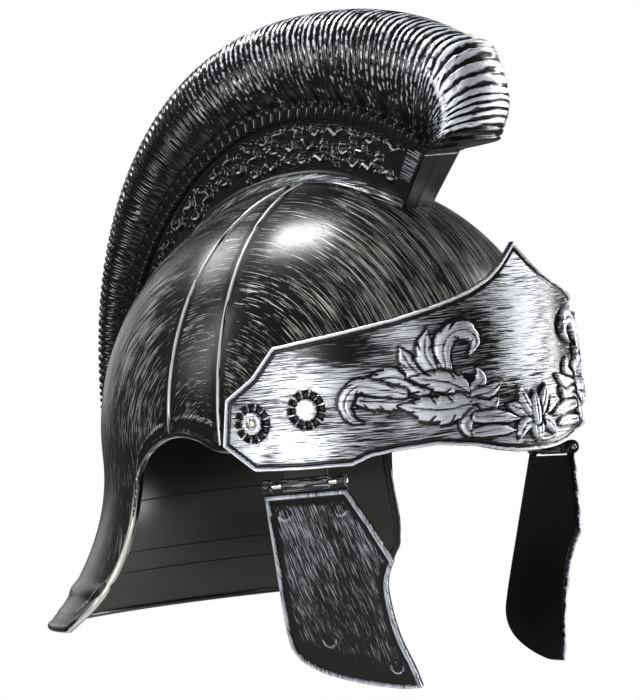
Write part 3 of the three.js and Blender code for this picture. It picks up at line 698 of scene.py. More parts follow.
rolled_line = bowl_point(all_edge_angles, all_edge_heights, -wall / 2)
rolled_line = np.roll(rolled_line, -hidden_steps, axis=0)[: column_count - 2 * hidden_steps + 1]
rolled = swept("rolled_edge", rolled_line, rolled_radius, bowl_paint, 12)
rolled_points = points_of(rolled)
nearest = ((rolled_points[:, None] - rolled_line[None]) ** 2).sum(2).argmin(1)
outward = unit_rows(rolled_line * np.array([1, 1, 0]))
crossing = np.cross(np.gradient(rolled_line, axis=0), outward)
away = unit_rows(crossing) * -np.sign(crossing[:, 2].mean())
from_middle = (rolled_points - rolled_line[nearest]) / rolled_radius
faces_out = (from_middle * outward[nearest]).sum(1)
faces_away = (from_middle * away[nearest]).sum(1)
# Silver on the outer lower lip of the rolled edge, most along the neck guard, is part brushed paint and part
# painted highlight.
rolled_silver_and_highlight = 0.16 + 0.34 * smooth_step(0.1, 0.7, faces_away)
rolled_silver_and_highlight = rolled_silver_and_highlight + 0.24 * smooth_step(-118, -140, rolled_points[:, 2])
rolled_silver_and_highlight = rolled_silver_and_highlight - 0.2 * smooth_step(-190, -195, rolled_points[:, 2])
rolled_silver_and_highlight = rolled_silver_and_highlight * smooth_step(-0.6, 0.0, faces_out)
paint_on(rolled, rolled_silver_and_highlight, run_along(rolled_line)[nearest], faces_away * 2)
bowl_parts.append(rolled)
for level in mould_levels:
    turn = np.radians(np.linspace(36, 144, 90))
    mould_line = swept("mould_line", bowl_point(turn, np.full(90, level), -wall), mould_radius, bowl_paint, 8)
    paint_on(mould_line, -0.3, 0, 0)
    bowl_parts.append(mould_line)
bowl = join_pieces("bowl_shell", bowl_parts)
print("bowl:", triangle_count(bowl), "triangles")

# %% [markdown]
# The crest copies a brush of hair: ribs fan from a rope band at its foot to an outer curve, round a blunt
# nose in front and down behind the bowl. Its shape follows a rule, so Geometry Nodes make it: every station
# joins a foot point to a tip point, a section profile gives the width at each height, and a wave along the
# stations raises the ribs. The foot, tip and profile lines are worked out first.

# %% Crest lines
rope_y, rope_z, rope_radius = -12, -100, 135
outer_y, outer_z, outer_rise, outer_reach, outer_roundness = -14, -100, 181.5, 156, 2.2
foot_angle, gather_angle, nose_top_y = math.radians(-30), math.radians(-26.5), -88
front_drop, drop_from, drop_to = 8.9, math.radians(20), math.radians(-28)
nose_line = [(-99, 12.5), (-107, 25.5), (-109, 38), (-103, 58)]
nose_share = 0.17
tail_z = -108
rib_count = 120
stations_per_rib = 6


def rope_radius_at(angle):
    """The foot of the crest is a circle that draws in towards the nose."""
    return rope_radius - front_drop * np.clip((drop_from - angle) / (drop_from - drop_to), 0, 2) ** 1.1


def around_rope(angles, radii):
    """y and z of points at these angles and distances from the middle of the rope circle."""
    return rope_y + radii * np.sin(angles), rope_z + radii * np.cos(angles)


def rope_point(angle):
    return np.stack(around_rope(angle, rope_radius_at(angle)), axis=-1)


def outer_point(angle):
    power = 2 / outer_roundness
    return np.stack([outer_y + outer_reach * signed_power(np.sin(angle), power),
                     outer_z + outer_rise * signed_power(np.cos(angle), power)], axis=-1)


def crest_lines(count):
    """Foot and tip of every station, first round the nose and then over the top to the tail."""
    share = np.linspace(0, 1, count)
    in_nose = share < nose_share
    half_power = outer_roundness / 2
    nose_start = -math.asin(((outer_y - nose_top_y) / outer_reach) ** half_power)
    tail_angle = math.pi / 2 + math.asin(((outer_z - tail_z) / outer_rise) ** half_power)
    rope_tail = math.acos((tail_z - rope_z) / rope_radius)
    along_nose = np.clip(share / nose_share, 0, 1)
    along_back = np.clip((share - nose_share) / (1 - nose_share), 0, 1)
    nose_curve = spline_through(nose_line + [tuple(outer_point(nose_start))], 600)
    nose_tips = nose_curve[np.round(along_nose * 599).astype(int)]
    nose_feet = rope_point(foot_angle + along_nose * (gather_angle - foot_angle))
    fine_tips = outer_point(np.linspace(nose_start, tail_angle, 800))
    run = run_along(fine_tips)
    back_tips = np.column_stack([np.interp(along_back * run[-1], run, fine_tips[:, i]) for i in (0, 1)])
    facing = np.arctan2(back_tips[:, 0] - rope_y, back_tips[:, 1] - rope_z)
    front_gap, tail_gap = gather_angle - facing[0], rope_tail - facing[-1]
    back_feet = rope_point(facing + front_gap * (1 - along_back) + tail_gap * along_back)
    bowl_y = bowl_section(back_feet[:, 1])[2] + 0.4
    back_feet[:, 0] = np.where(back_feet[:, 0] > 0, np.maximum(back_feet[:, 0], bowl_y), back_feet[:, 0])
    tips = np.where(in_nose[:, None], nose_tips, back_tips)
    feet = np.where(in_nose[:, None], nose_feet, back_feet)
    return feet, tips


station_count = rib_count * stations_per_rib + 1
feet, tips = crest_lines(station_count)
crest_profile = [  # half width in mm, share of the height from foot to tip
    (14.6, 0.0), (15.2, 0.035), (14.9, 0.075), (13.7, 0.115), (14.6, 0.19), (17.6, 0.3), (20.2, 0.44),
    (21.7, 0.6), (21.4, 0.74), (19.2, 0.855), (14.6, 0.94), (8.0, 0.985), (0.0, 1.0),
]
half_profile = spline_through(crest_profile, 27)
other_half = half_profile[-2::-1] * np.array([-1, 1])
profile = np.vstack([half_profile, other_half, [[0, 0]], half_profile[:1]])


def line_object(name, points):
    """A guide for the tree: points without faces, removed once the crest is made."""
    mesh = bpy.data.meshes.new(name)
    mesh.from_pydata(np.asarray(points).tolist(), [], [])
    return new_object(name, mesh)


zeros = np.zeros(station_count)
foot_guide = line_object("crest_foot", np.column_stack([zeros, feet]) * millimetre)
tip_guide = line_object("crest_tip", np.column_stack([zeros, tips]) * millimetre)
profile_guide = line_object("crest_profile", np.column_stack([
    profile[:, 0] * millimetre, profile[:, 1], np.zeros(len(profile))]))
print("crest:", station_count, "stations of", len(profile), "points")

# %% [markdown]
# The tree starts from a flat grid, stations one way and profile points the other, and works out where each
# point of it goes. Ribs lie side by side along the stations, sway a little, gather in bundles of five towards
# the foot and stop at the rope band. The blunt face of the nose has fewer and wider grooves across it.

# %% Crest tree
crest_tree = new_tree("ribbed_crest", [
    ("Foot", "Object"), ("Tip", "Object"), ("Profile", "Object"),
    ("Stations", "Int"), ("Profile Points", "Int"), ("Ribs", "Int"),
    ("Rib Depth", "Float"), ("Nose Share", "Float"), ("Nose Grooves", "Float"), ("Groove Depth", "Float"),
    ("Material", "Material"),
])
given = add_node(crest_tree, "NodeGroupInput").outputs
crest_grid = add_node(crest_tree, "GeometryNodeMeshGrid", {
    "Size X": 1, "Size Y": 1, "Vertices X": given["Stations"], "Vertices Y": given["Profile Points"]})
grid_place = add_node(crest_tree, "GeometryNodeInputPosition").outputs[0]


def worked(operation, *values):
    """One step of arithmetic in the crest's tree."""
    return value_node(crest_tree, operation, *values)


def rest_of(value):
    return worked("SUBTRACT", 1, value)


def rising(value, low, high):
    return ramp_node(crest_tree, value, low, high)


def blended(share, first, second):
    return worked("MULTIPLY_ADD", worked("SUBTRACT", second, first), share, first)


def vector_of(x, y=0, z=0):
    return add_node(crest_tree, "ShaderNodeCombineXYZ", {"X": x, "Y": y, "Z": z}).outputs[0]


def parts_of(vector):
    return add_node(crest_tree, "ShaderNodeSeparateXYZ", {0: vector}).outputs


def vector_node(operation, inputs, output=0):
    return add_node(crest_tree, "ShaderNodeVectorMath", inputs, operation=operation).outputs[output]


def noise_node(vector, scale, detail):
    noise = add_node(crest_tree, "ShaderNodeTexNoise", {"Vector": vector, "Scale": scale, "Detail": detail})
    return noise.outputs["Fac"]


def place_on(guide_name, share, count_name):
    """The guide's point whose number is this share of its count."""
    guide = add_node(crest_tree, "GeometryNodeObjectInfo", {"Object": given[guide_name]})
    number = worked("ROUND", worked("MULTIPLY", share, worked("SUBTRACT", given[count_name], 1)))
    inputs = {"Geometry": guide.outputs["Geometry"], "Value": grid_place, "Index": number}
    return add_node(crest_tree, "GeometryNodeSampleIndex", inputs, data_type="FLOAT_VECTOR").outputs["Value"]


def stored(name, value):
    return add_node(crest_tree, "GeometryNodeStoreNamedAttribute", {"Name": name, "Value": value},
                    data_type="FLOAT", domain="POINT")


along_share = worked("ADD", parts_of(grid_place)["X"], 0.5)
around_share = worked("ADD", parts_of(grid_place)["Y"], 0.5)
foot_place = place_on("Foot", along_share, "Stations")
tip_place = place_on("Tip", along_share, "Stations")
section = parts_of(place_on("Profile", around_share, "Profile Points"))
section_width, section_height = section["X"], section["Y"]

# A slow sway and the bundles move each rib along the stations.
sway_place = vector_of(worked("MULTIPLY", along_share, 46), worked("MULTIPLY", section_height, 2.4),
                       worked("SIGN", section_width))
sway = worked("MULTIPLY_ADD", noise_node(sway_place, 1, 1), 1.1, -0.55)
rib_number = worked("MULTIPLY", along_share, given["Ribs"])
bundle_turn = worked("MULTIPLY", rib_number, 2 * math.pi / 5)
bundle_size = worked("MAXIMUM", worked("MULTIPLY_ADD", section_height, -1.5, 0.8), 0)
sway = worked("MULTIPLY_ADD", worked("SINE", bundle_turn), bundle_size, sway)
rib_phase = worked("ADD", rib_number, sway)
from_top = worked("ABSOLUTE", worked("MULTIPLY_ADD", worked("FRACT", rib_phase), 2, -1))
rib_height = rest_of(worked("POWER", from_top, 3.2))

# Each rib has its own depth, ribs deepen towards the back, and hollows lie between the bundles near the foot.
own_depth = add_node(crest_tree, "ShaderNodeTexWhiteNoise", {"W": worked("FLOOR", rib_phase)},
                     noise_dimensions="1D")
own_share = worked("MULTIPLY_ADD", own_depth.outputs["Value"], 0.5, 0.7)
rib_depth = worked("MULTIPLY", given["Rib Depth"], own_share)
rib_depth = worked("MULTIPLY", rib_depth, worked("MULTIPLY_ADD", along_share, 0.5, 0.85))
sunk = worked("MULTIPLY", rib_depth, rest_of(rib_height))
between = worked("MULTIPLY_ADD", worked("COSINE", bundle_turn), -0.5, 0.5)
between = worked("MULTIPLY", worked("POWER", between, 2), rest_of(rising(section_height, 0.14, 0.36)))
rib_height = worked("MULTIPLY", rib_height, worked("MULTIPLY_ADD", between, -0.7, 1))
sunk = worked("MULTIPLY_ADD", between, 1.1 * millimetre, sunk)
sunk = worked("MULTIPLY", sunk, rising(section_height, 0.08, 0.16))

# The grooves of the nose have ragged edges, and the corner beside them is nearly smooth.
past_nose = worked("SUBTRACT", along_share, given["Nose Share"])
on_face = worked("MULTIPLY", rest_of(rising(past_nose, -0.02, 0.004)), rising(section_height, 0.66, 0.8))
nose_along = worked("DIVIDE", along_share, given["Nose Share"])
nose_phase = worked("MULTIPLY_ADD", nose_along, given["Nose Grooves"], worked("MULTIPLY", sway, 0.5))
from_groove = worked("ABSOLUTE", worked("MULTIPLY_ADD", worked("FRACT", nose_phase), 2, -1))
ragged = noise_node(vector_of(section_width, worked("MULTIPLY", along_share, 0.5)), 260, 2)
from_groove = worked("ADD", from_groove, worked("MULTIPLY_ADD", ragged, 0.9, -0.45))
face_height = rising(from_groove, 0.2, 0.5)
sunk = blended(on_face, sunk, worked("MULTIPLY", given["Groove Depth"], rest_of(face_height)))
rib_height = blended(on_face, rib_height, face_height)
near_corner = worked("ABSOLUTE", worked("SUBTRACT", section_height, 0.67))
on_corner = rest_of(rising(near_corner, 0.02, 0.06))
on_corner = worked("MULTIPLY", on_corner, rest_of(rising(past_nose, -0.05, -0.015)))
sunk = blended(on_corner, sunk, worked("MULTIPLY", sunk, 0.2))
rib_height = worked("MAXIMUM", rib_height, on_corner)

# A point lies up the line from foot to tip and out to the side, less the depth by which it is sunk.
rise = vector_node("SUBTRACT", {0: tip_place, 1: foot_place})
shorter = rest_of(worked("DIVIDE", sunk, vector_node("LENGTH", {0: rise}, "Value")))
up_rise = vector_node("SCALE", {0: rise, "Scale": worked("MULTIPLY", section_height, shorter)})
half_width = worked("SUBTRACT", worked("ABSOLUTE", section_width), sunk)
sideways = vector_of(worked("MULTIPLY", worked("SIGN", section_width), half_width))
on_line = vector_node("ADD", {0: foot_place, 1: up_rise})
crest_move = add_node(crest_tree, "GeometryNodeSetPosition", {
    "Position": vector_node("ADD", {0: on_line, 1: sideways})})
crest_weld = add_node(crest_tree, "GeometryNodeMergeByDistance", {"Distance": 0.00002})
link_chain(crest_tree, given["Material"], crest_grid, stored("rib", rib_height),
           stored("height", section_height), stored("along", along_share), crest_move, crest_weld)
print("tree", crest_tree.name, "has", len(crest_tree.nodes), "nodes")

# %% [markdown]
# The tree keeps three values with every point, and the paint follows them: silver on the tops of the ribs,
# little of it behind, most on the face of the nose and none on the band that the rope covers.

# %% Crest piece
crest_body = made_by_nodes("crest_body", crest_tree, {
    "Foot": foot_guide,
    "Tip": tip_guide,
    "Profile": profile_guide,
    "Stations": station_count,
    "Profile Points": len(profile),
    "Ribs": rib_count,
    "Rib Depth": 1.35 * millimetre,
    "Nose Share": nose_share,
    "Nose Grooves": 13.0,
    "Groove Depth": 1.1 * millimetre,
    "Material": crest_paint,
})
for guide in (foot_guide, tip_guide, profile_guide):
    bpy.data.objects.remove(guide)
tidied(crest_body, 0, True)


def values_of(piece, name):
    store = np.zeros(len(piece.data.vertices), np.float32)
    piece.data.attributes[name].data.foreach_get("value", store)
    return store


rib_tops, heights, shares = (values_of(crest_body, name) for name in ("rib", "height", "along"))
on_nose = smooth_step(0.2, 0.1, shares)
on_rib = 0.36 * smooth_step(0.08, 0.2, heights) + 0.12 * smooth_step(0.3, 0.6, heights)
crest_cover = 0.02 + rib_tops ** 4 * on_rib
crest_cover = crest_cover + 0.09 * rib_tops ** 2 * smooth_step(0.66, 0.95, heights)
nose_face = on_nose * smooth_step(0.58, 0.66, heights)
crest_cover = crest_cover * (1 - nose_face) + (0.06 + 0.64 * rib_tops) * nose_face
crest_cover = crest_cover * (1 - 0.8 * smooth_step(0.45, 0.7, shares))
crest_cover = np.where((heights < 0.1) | (shares < 0.02), 0.05, crest_cover)
paint_on(crest_body, crest_cover, shares * 520, heights * 82 + points_of(crest_body)[:, 0] * 0.2)
print("crest:", triangle_count(crest_body), "triangles")

# %% [markdown]
# A rope band runs along the foot of the crest on each side. It repeats one small strand, so a tree places
# copies along the line of the foot, each turned to follow it and slanted.

# %% Rope tree
strand_pitch, strand_size, strand_slant = 5.6, (2.8, 3.9, 2.9), 0.25
rope_half_width, rope_rise = 14.7, 3.2
rope_tree = new_tree("rope_band", [
    ("Path", "Geometry"), ("Pitch", "Float"), ("Strand Size", "Vector"), ("Slant", "Float"),
    ("Material", "Material")])
rope_in = add_node(rope_tree, "NodeGroupInput")
rope_curve = add_node(rope_tree, "GeometryNodeMeshToCurve")
rope_places = add_node(rope_tree, "GeometryNodeCurveToPoints", {
    "Length": rope_in.outputs["Pitch"]}, mode="LENGTH")
block = add_node(rope_tree, "GeometryNodeMeshCube", {"Size": (2, 2, 2)})
strand = add_node(rope_tree, "GeometryNodeSubdivisionSurface", {
    0: block.outputs[0], "Level": 2, "Edge Crease": 0.5})
along_rope = add_node(rope_tree, "FunctionNodeAlignRotationToVector", {
    "Vector": rope_places.outputs["Tangent"]}, axis="Z")
to_side = add_node(rope_tree, "FunctionNodeAlignRotationToVector", {
    "Rotation": along_rope.outputs[0], "Vector": (1, 0, 0)}, axis="X", pivot_axis="Z")
slant = add_node(rope_tree, "ShaderNodeCombineXYZ", {"X": rope_in.outputs["Slant"]})
leaning = add_node(rope_tree, "FunctionNodeRotateRotation", {
    "Rotation": to_side.outputs[0], "Rotate By": slant.outputs[0]}, rotation_space="LOCAL")
strands = add_node(rope_tree, "GeometryNodeInstanceOnPoints", {
    "Instance": strand.outputs[0], "Rotation": leaning.outputs[0], "Scale": rope_in.outputs["Strand Size"]})
link_chain(rope_tree, rope_in.outputs["Material"], rope_in, rope_curve, rope_places, strands)

crest_parts = [crest_body]
foot_rise = (tips - feet) / np.linalg.norm(tips - feet, axis=1)[:, None]
rope_middle = feet + foot_rise * rope_rise
rope_first = round(0.75 * nose_share * station_count)
for sign in (-1, 1):
    line = np.column_stack([np.full(station_count, sign * rope_half_width), rope_middle])[rope_first::3]
    rope = made_by_nodes("rope", rope_tree, {
        "Pitch": strand_pitch * millimetre,
        "Strand Size": tuple(side * millimetre for side in strand_size),
        "Slant": strand_slant,
        "Material": crest_paint,
    }, line)
    rope_place = points_of(rope)
    rope_cover = 0.2 * smooth_step(16.2, 17.2, np.abs(rope_place[:, 0])) - 0.2
    paint_on(rope, rope_cover, rope_place[:, 1] * 2, rope_place[:, 2] * 2)
    crest_parts.append(rope)
crest = join_pieces("crest_ribs", crest_parts)
print("crest with its rope:", triangle_count(crest), "triangles")

# %% [markdown]
# Relief is drawn as raised strokes: a spine through a few points, full in the middle and drawn out to a tip.
# The same function serves the scrolls on the holder and the leaves on the brow plate. It returns heights for
# any set of points, so a fine grid can simply be pushed out by them.

# %% Relief strokes
def stroke_relief(across, up, spine, half_width, raise_by, teeth=0, vein=0.0, root=0.25, flat=3.0):
    """Height of one raised stroke over points (across, up), and how dark its hollows and outline are."""
    line = spline_through(spine, 40)
    height, dark = np.zeros(across.shape), np.zeros(across.shape)
    reach = half_width * 1.4 + 2
    near = ((across > line[:, 0].min() - reach) & (across < line[:, 0].max() + reach)
            & (up > line[:, 1].min() - reach) & (up < line[:, 1].max() + reach))
    if not near.any():
        return height, dark
    px, py = across[near][:, None], up[near][:, None]
    start, step = line[:-1], np.diff(line, axis=0)
    share = ((px - start[:, 0]) * step[:, 0] + (py - start[:, 1]) * step[:, 1]) / (step ** 2).sum(1)
    share = np.clip(share, 0, 1)
    gap = np.hypot(px - start[:, 0] - share * step[:, 0], py - start[:, 1] - share * step[:, 1])
    nearest = gap.argmin(1)
    rows = np.arange(len(nearest))
    along = (nearest + share[rows, nearest]) / len(step)
    off = gap[rows, nearest]
    # The stroke swells from its root and draws out to its tip; teeth step its edge.
    fullness = root + (1 - root) * np.sin(math.pi * np.clip(0.2 + 0.8 * along, 0, 1)) ** 0.75
    fullness = fullness * np.where(along > 0.75, np.clip((1.001 - along) / 0.25, 0, 1) ** 0.7, 1)
    if teeth:
        fullness = fullness * (0.84 + 0.26 * (teeth * along % 1))
    # Across, it is rounded; a vein runs down its middle and notches cut in between the teeth.
    share_off = off / np.maximum(half_width * fullness, 1e-6)
    body = np.clip((1 - share_off) * flat, 0, 1) ** 0.6 * (1.12 - 0.24 * share_off ** 2)
    hollow = 0.7 * vein * hump(off, 0, 0.4) * smooth_step(0.95, 0.8, along)
    if teeth:
        notch = (teeth * along - 0.5 * share_off) % 1
        notch = smooth_step(0.1, 0.03, np.minimum(notch, 1 - notch)) * smooth_step(0.35, 0.6, share_off)
        hollow = np.maximum(hollow, vein * notch)
    body = body * (1 - 0.35 * hollow)
    outside = np.maximum(off - half_width * fullness, 0)
    height[near] = raise_by * body
    dark[near] = np.where(share_off < 1, np.maximum(hollow, smooth_step(0.86, 1.0, share_off)),
                          hump(outside, 0, 0.8))
    return height, dark


def laid_over(below, stroke):
    """One stroke laid over the relief drawn so far; its outline darkens what it lies on."""
    height, dark = stroke
    on_stroke = height > 0
    return np.where(on_stroke, height, below[0]), np.where(on_stroke, dark, np.maximum(below[1], dark))


print("relief strokes ready")

# %% [markdown]
# The holder is the narrow box between the bowl and the crest. Its sides carry a band of scrolls and beads, an
# upright strip at the front, and a plain skirt that spreads a little where it meets the dome.

# %% Holder shape
holder_half_width = 14.5
top_gap = 0.4
holder_start = math.radians(-27.4)


def bowl_holds(x, y, z):
    side, front, back = bowl_section(z)
    depth = np.where(y < 0, front, back)
    across = (np.abs(x) / np.maximum(side, 1e-6)) ** bowl_roundness
    return across + (np.abs(y) / np.maximum(depth, 1e-6)) ** bowl_roundness < 1


def radius_at_bowl(angles, x):
    """Distance from the middle of the rope circle down to the bowl, found by halving."""
    low, high = np.full(angles.shape, 70.0), np.full(angles.shape, 150.0)
    for _ in range(40):
        middle_radius = (low + high) / 2
        y, z = around_rope(angles, middle_radius)
        inside = bowl_holds(np.full(angles.shape, x), y, z) & (z < wall)
        low = np.where(inside, middle_radius, low)
        high = np.where(inside, high, middle_radius)
    return high


probe = np.linspace(holder_start, math.radians(100), 400)
meets_bowl = radius_at_bowl(probe, holder_half_width) > rope_radius_at(probe) - top_gap - 0.6
holder_end = probe[np.argmax(meets_bowl)]
holder_columns, holder_rows = 440, 78
holder_angles = np.linspace(holder_start, holder_end, holder_columns)
holder_top = rope_radius_at(holder_angles) - top_gap
holder_low = np.minimum(radius_at_bowl(holder_angles, holder_half_width + 1.5), holder_top - 0.3)
print("holder runs to", round(math.degrees(holder_end), 1), "degrees behind the top")

# %% [markdown]
# The scrolls stand in three rows. Fixed random draws shift, turn and size each one, and a small bead fills
# the gap behind it. A plain strip closes the panel in front, where the box leans forward and tapers down.

# %% Holder relief
motifs = [  # unit drawings of the curls, as points from root to tip
    [(-0.5, 0.9), (-0.1, 0.5), (-0.25, 0.0), (0.25, -0.1), (0.1, -0.6), (0.5, -0.9)],
    [(-0.9, 0.1), (-0.5, 0.6), (0.1, 0.45), (0.25, -0.2), (-0.2, -0.5)],
    [(-1.0, -0.2), (-0.5, 0.3), (0.0, 0.0), (0.5, -0.3), (1.0, 0.2)],
]
relief_rows = [  # depth of a row below the rope, first angle, step, last angle
    (5.8, -20.4, 5.2, 58),
    (12.2, -18.0, 5.4, 46),
    (18.4, -20.6, 5.2, 26),
]
degrees_to_mm = math.radians(1) * (rope_radius - 10)
scroll_half_width, scroll_raise = 1.8, 1.9
bead_half_width, bead_raise = 1.4, 1.5
front_forward, front_slant, front_taper = 7.6, 7.0, 3.0
skirt_spread, skirt_height = 2.2, 7.0


def holder_height(angles, depths, lows):
    """Relief of the side at an angle and a depth below the rope; lows is the depth where the bowl begins."""
    across, up = np.degrees(angles) * degrees_to_mm, depths
    drawn = np.zeros(across.shape), np.zeros(across.shape)
    dice = np.random.default_rng(11)
    for depth, first, step, last in relief_rows:
        for number, angle in enumerate(np.arange(first, last, step)):
            middle = np.array([angle * degrees_to_mm, depth]) + dice.uniform(-0.8, 0.8, 2)
            turn = dice.uniform(-0.7, 0.7)
            size = dice.uniform(3.6, 4.6)
            rotation = np.array([[math.cos(turn), -math.sin(turn)], [math.sin(turn), math.cos(turn)]])
            spine = np.array(motifs[(number * 2 + int(depth)) % 3]) * size @ rotation + middle
            scroll = stroke_relief(across, up, spine, scroll_half_width, scroll_raise, root=0.6, flat=1.0)
            drawn = laid_over(drawn, scroll)
            bead = middle + np.array([0.5 * step * degrees_to_mm, dice.uniform(-2.0, 2.0)])
            off = np.hypot(across - bead[0], up - bead[1])
            dome = bead_raise * np.sqrt(np.clip(1 - (off / bead_half_width) ** 2, 0, 1))
            drawn = np.maximum(drawn[0], dome), drawn[1]
    height = drawn[0]
    on_panel = smooth_step(5.0, 6.5, lows - depths) * smooth_step(-23.4, -23.0, np.degrees(angles))
    strip = strip_share(angles, depths)
    low_border = 0.3 * hump(lows - depths, 5.4, 0.6) * (lows > 9)
    border = hump(depths, 0.9, 0.5) + low_border
    return height * on_panel * smooth_step(2.2, 3.2, depths) + 0.9 * strip + 0.5 * border * (1 - strip)


def strip_share(angles, depths):
    """One on the plain upright strip at the front of the panel, nought elsewhere."""
    turn = np.degrees(angles)
    on_strip = smooth_step(-23.8, -24.1, turn) * smooth_step(-27.2, -27.0, turn)
    return on_strip * smooth_step(2.5, 3.0, depths) * smooth_step(18.5, 18, depths)


share_down = np.linspace(0, 1, holder_rows)[None, :]
depth_all = (holder_top - holder_low)[:, None]
depths = share_down * depth_all
angles_all = np.broadcast_to(holder_angles[:, None], depths.shape)
relief = holder_height(angles_all, depths, np.broadcast_to(depth_all, depths.shape))
above_bowl = depth_all - depths
deep_enough = smooth_step(4, 9, depth_all)
skirt = skirt_spread * np.clip(1 - above_bowl / skirt_height, 0, 1) ** 2 * deep_enough
foot_lip = hump(above_bowl, 0.9, 0.5) * deep_enough
at_front = smooth_step(math.radians(-17), holder_start, angles_all)
holder_x = holder_half_width - 0.6 + relief + skirt + 0.6 * foot_lip
holder_x = holder_x - at_front * share_down * (front_taper + skirt)
holder_y, holder_z = around_rope(angles_all, holder_top[:, None] - depths)
holder_y = holder_y - (front_forward - front_slant * share_down) * at_front
print("highest relief on the holder:", round(float(relief.max()), 2), "mm")

# %% [markdown]
# Each ring of points goes up the right side and down the left, so one grid makes both sides, top and bottom.
# Silver on the crowns of the scrolls and on their flank that faces up and back is painted highlight; silver
# also lies on the strip and in streaks on the skirt. The front is a skin of its own, nearly bare.

# %% Holder piece
front_columns = 15


def both_sides(values):
    return np.concatenate([values[:, ::-1], values], axis=1).ravel()


right_side = np.stack([-holder_x, holder_y, holder_z], axis=-1)
left_side = np.stack([holder_x, holder_y, holder_z], axis=-1)
rings = np.concatenate([right_side[:, ::-1], left_side], axis=1)
ring_size = rings.shape[1]
last_ring = (holder_columns - 1) * ring_size
holder_verts = rings.reshape(-1, 3)
holder_faces = grid_faces(holder_columns, ring_size, True)
holder_faces.append([last_ring + i for i in range(ring_size)])
rise_down = np.gradient(relief, axis=1) / np.gradient(depths, axis=1)
rise_back = np.gradient(relief, axis=0) / (np.degrees(holder_angles[1] - holder_angles[0]) * degrees_to_mm)
# Silver on the crowns and on the flank facing up and back is painted highlight.
painted_highlight_flank = smooth_step(-0.25, 0.35, 0.85 * rise_down - 0.5 * rise_back) * smooth_step(0.7, 1.3, relief)
side_lip = both_sides(foot_lip)
side_cover = 0.18 - 0.18 * smooth_step(0.02, 0.2, both_sides(relief)) + 0.68 * both_sides(painted_highlight_flank)
side_cover = side_cover + 0.24 * smooth_step(0.0, 0.4, both_sides(skirt)) * (1 - side_lip)
side_cover = np.where(side_lip > 0.3, 0.1, side_cover)
side_cover = np.where(both_sides(strip_share(angles_all, depths)) > 0.5, 0.46, side_cover)
from_rope_y, from_rope_z = holder_verts[:, 1] - rope_y, holder_verts[:, 2] - rope_z
holder_along = np.degrees(np.arctan2(from_rope_y, from_rope_z)) * degrees_to_mm
holder_down = np.hypot(from_rope_y, from_rope_z) + holder_verts[:, 0] * 0.3
holder_sides = piece_from("holder_sides", holder_verts, holder_faces, holder_paint, side_cover,
                          holder_along, holder_down)

weights = np.linspace(0, 1, front_columns)[None, :, None]
front_face = right_side[0][:, None] * (1 - weights) + left_side[0][:, None] * weights
front_face[:, :, 1] -= 0.25 * hump(front_face[:, :, 0], 0, 0.5)
front_points = front_face.reshape(-1, 3)
ledge = smooth_step(3.6, 4.0, depths[0]) * smooth_step(5.0, 4.6, depths[0])
front_skin = piece_from("holder_front", front_points, grid_faces(holder_rows, front_columns), cheek_paint,
                        np.repeat(0.02 + 0.5 * ledge, front_columns), front_points[:, 0], front_points[:, 2])
holder = join_pieces("holder_box", [holder_sides, front_skin])
tidied(holder, 0.00002)
print("holder:", triangle_count(holder), "triangles")

# %% [markdown]
# The brow plate is a separate moulding: a thin band round the front of the bowl with a raised rim, two
# rosettes at each end and a spray of leaves that meets in a flower over the forehead. It is drawn flat, as
# distance round from the middle against height, and then bent on to its rounded outline. All relief is one
# height over that drawing, which keeps leaves, rim and rosettes in one smooth skin as in the real moulding.

# %% Plate shape
plate_half_width, plate_centre_y, plate_reach, plate_foot_z = 103.5, 14, 128.5, -132
plate_lean, plate_roundness, plate_thickness = 0.03, 2.2, 2.0
rim_width, rim_raise = 1.4, 1.1
plate_top = [  # distance round, z
    (0, -36), (10.5, -45), (19, -50.8), (31.5, -56.2), (48.6, -60.8), (69, -65), (97, -69), (129, -72.8),
    (141.5, -86), (156.5, -95), (160.5, -116.5),
]
plate_foot = [
    (0, -133.4), (13, -132.8), (25.5, -130.8), (36.5, -127.9), (57, -125.2), (76, -125.9), (88, -127.3),
    (97, -130.6), (120, -130.3), (144.5, -129.2), (160.5, -116.5),
]
plate_end = 160.5


def plate_plan(angle, z):
    """x and y of the plate's back at an angle from the middle of the front."""
    reach = plate_reach - plate_lean * (z - plate_foot_z)
    x = plate_half_width * signed_power(np.sin(angle), 2 / plate_roundness)
    y = plate_centre_y - reach * signed_power(np.cos(angle), 2 / plate_roundness)
    return x, y


table_angles = np.linspace(0, math.pi / 2, 801)
table_x, table_y = plate_plan(table_angles, plate_foot_z)
table_round = np.concatenate([[0], np.cumsum(np.hypot(np.diff(table_x), np.diff(table_y)))])


def plate_point(round_by, z, out=0.0):
    """A point at a distance round the plate, a height and a depth outwards."""
    distance_round = np.abs(round_by)
    x, y = plate_plan(np.interp(distance_round, table_round, table_angles), z)
    next_x, next_y = plate_plan(np.interp(distance_round + 1, table_round, table_angles), z)
    step_x, step_y = next_x - x, next_y - y
    size = np.hypot(step_x, step_y)
    x = x + step_y / size * out
    y = y - step_x / size * out
    return np.stack([np.where(round_by < 0, -x, x), y, z + 0 * x], axis=-1)


top_line, foot_line = np.array(plate_top, float), np.array(plate_foot, float)
fine_ends = plate_end - np.array([0.0, 0.35, 0.8, 1.3, 1.8, 2.4, 3.0, 3.5, 4.0])
half_rounds = np.concatenate([np.arange(0, plate_end - 4.1, 0.56), fine_ends[::-1]])
plate_rounds = np.concatenate([-half_rounds[:0:-1], half_rounds])
plate_rows, back_rows = 138, 8
plate_columns = len(plate_rounds)
tops = np.interp(np.abs(plate_rounds), top_line[:, 0], top_line[:, 1])
lows = np.interp(np.abs(plate_rounds), foot_line[:, 0], foot_line[:, 1])


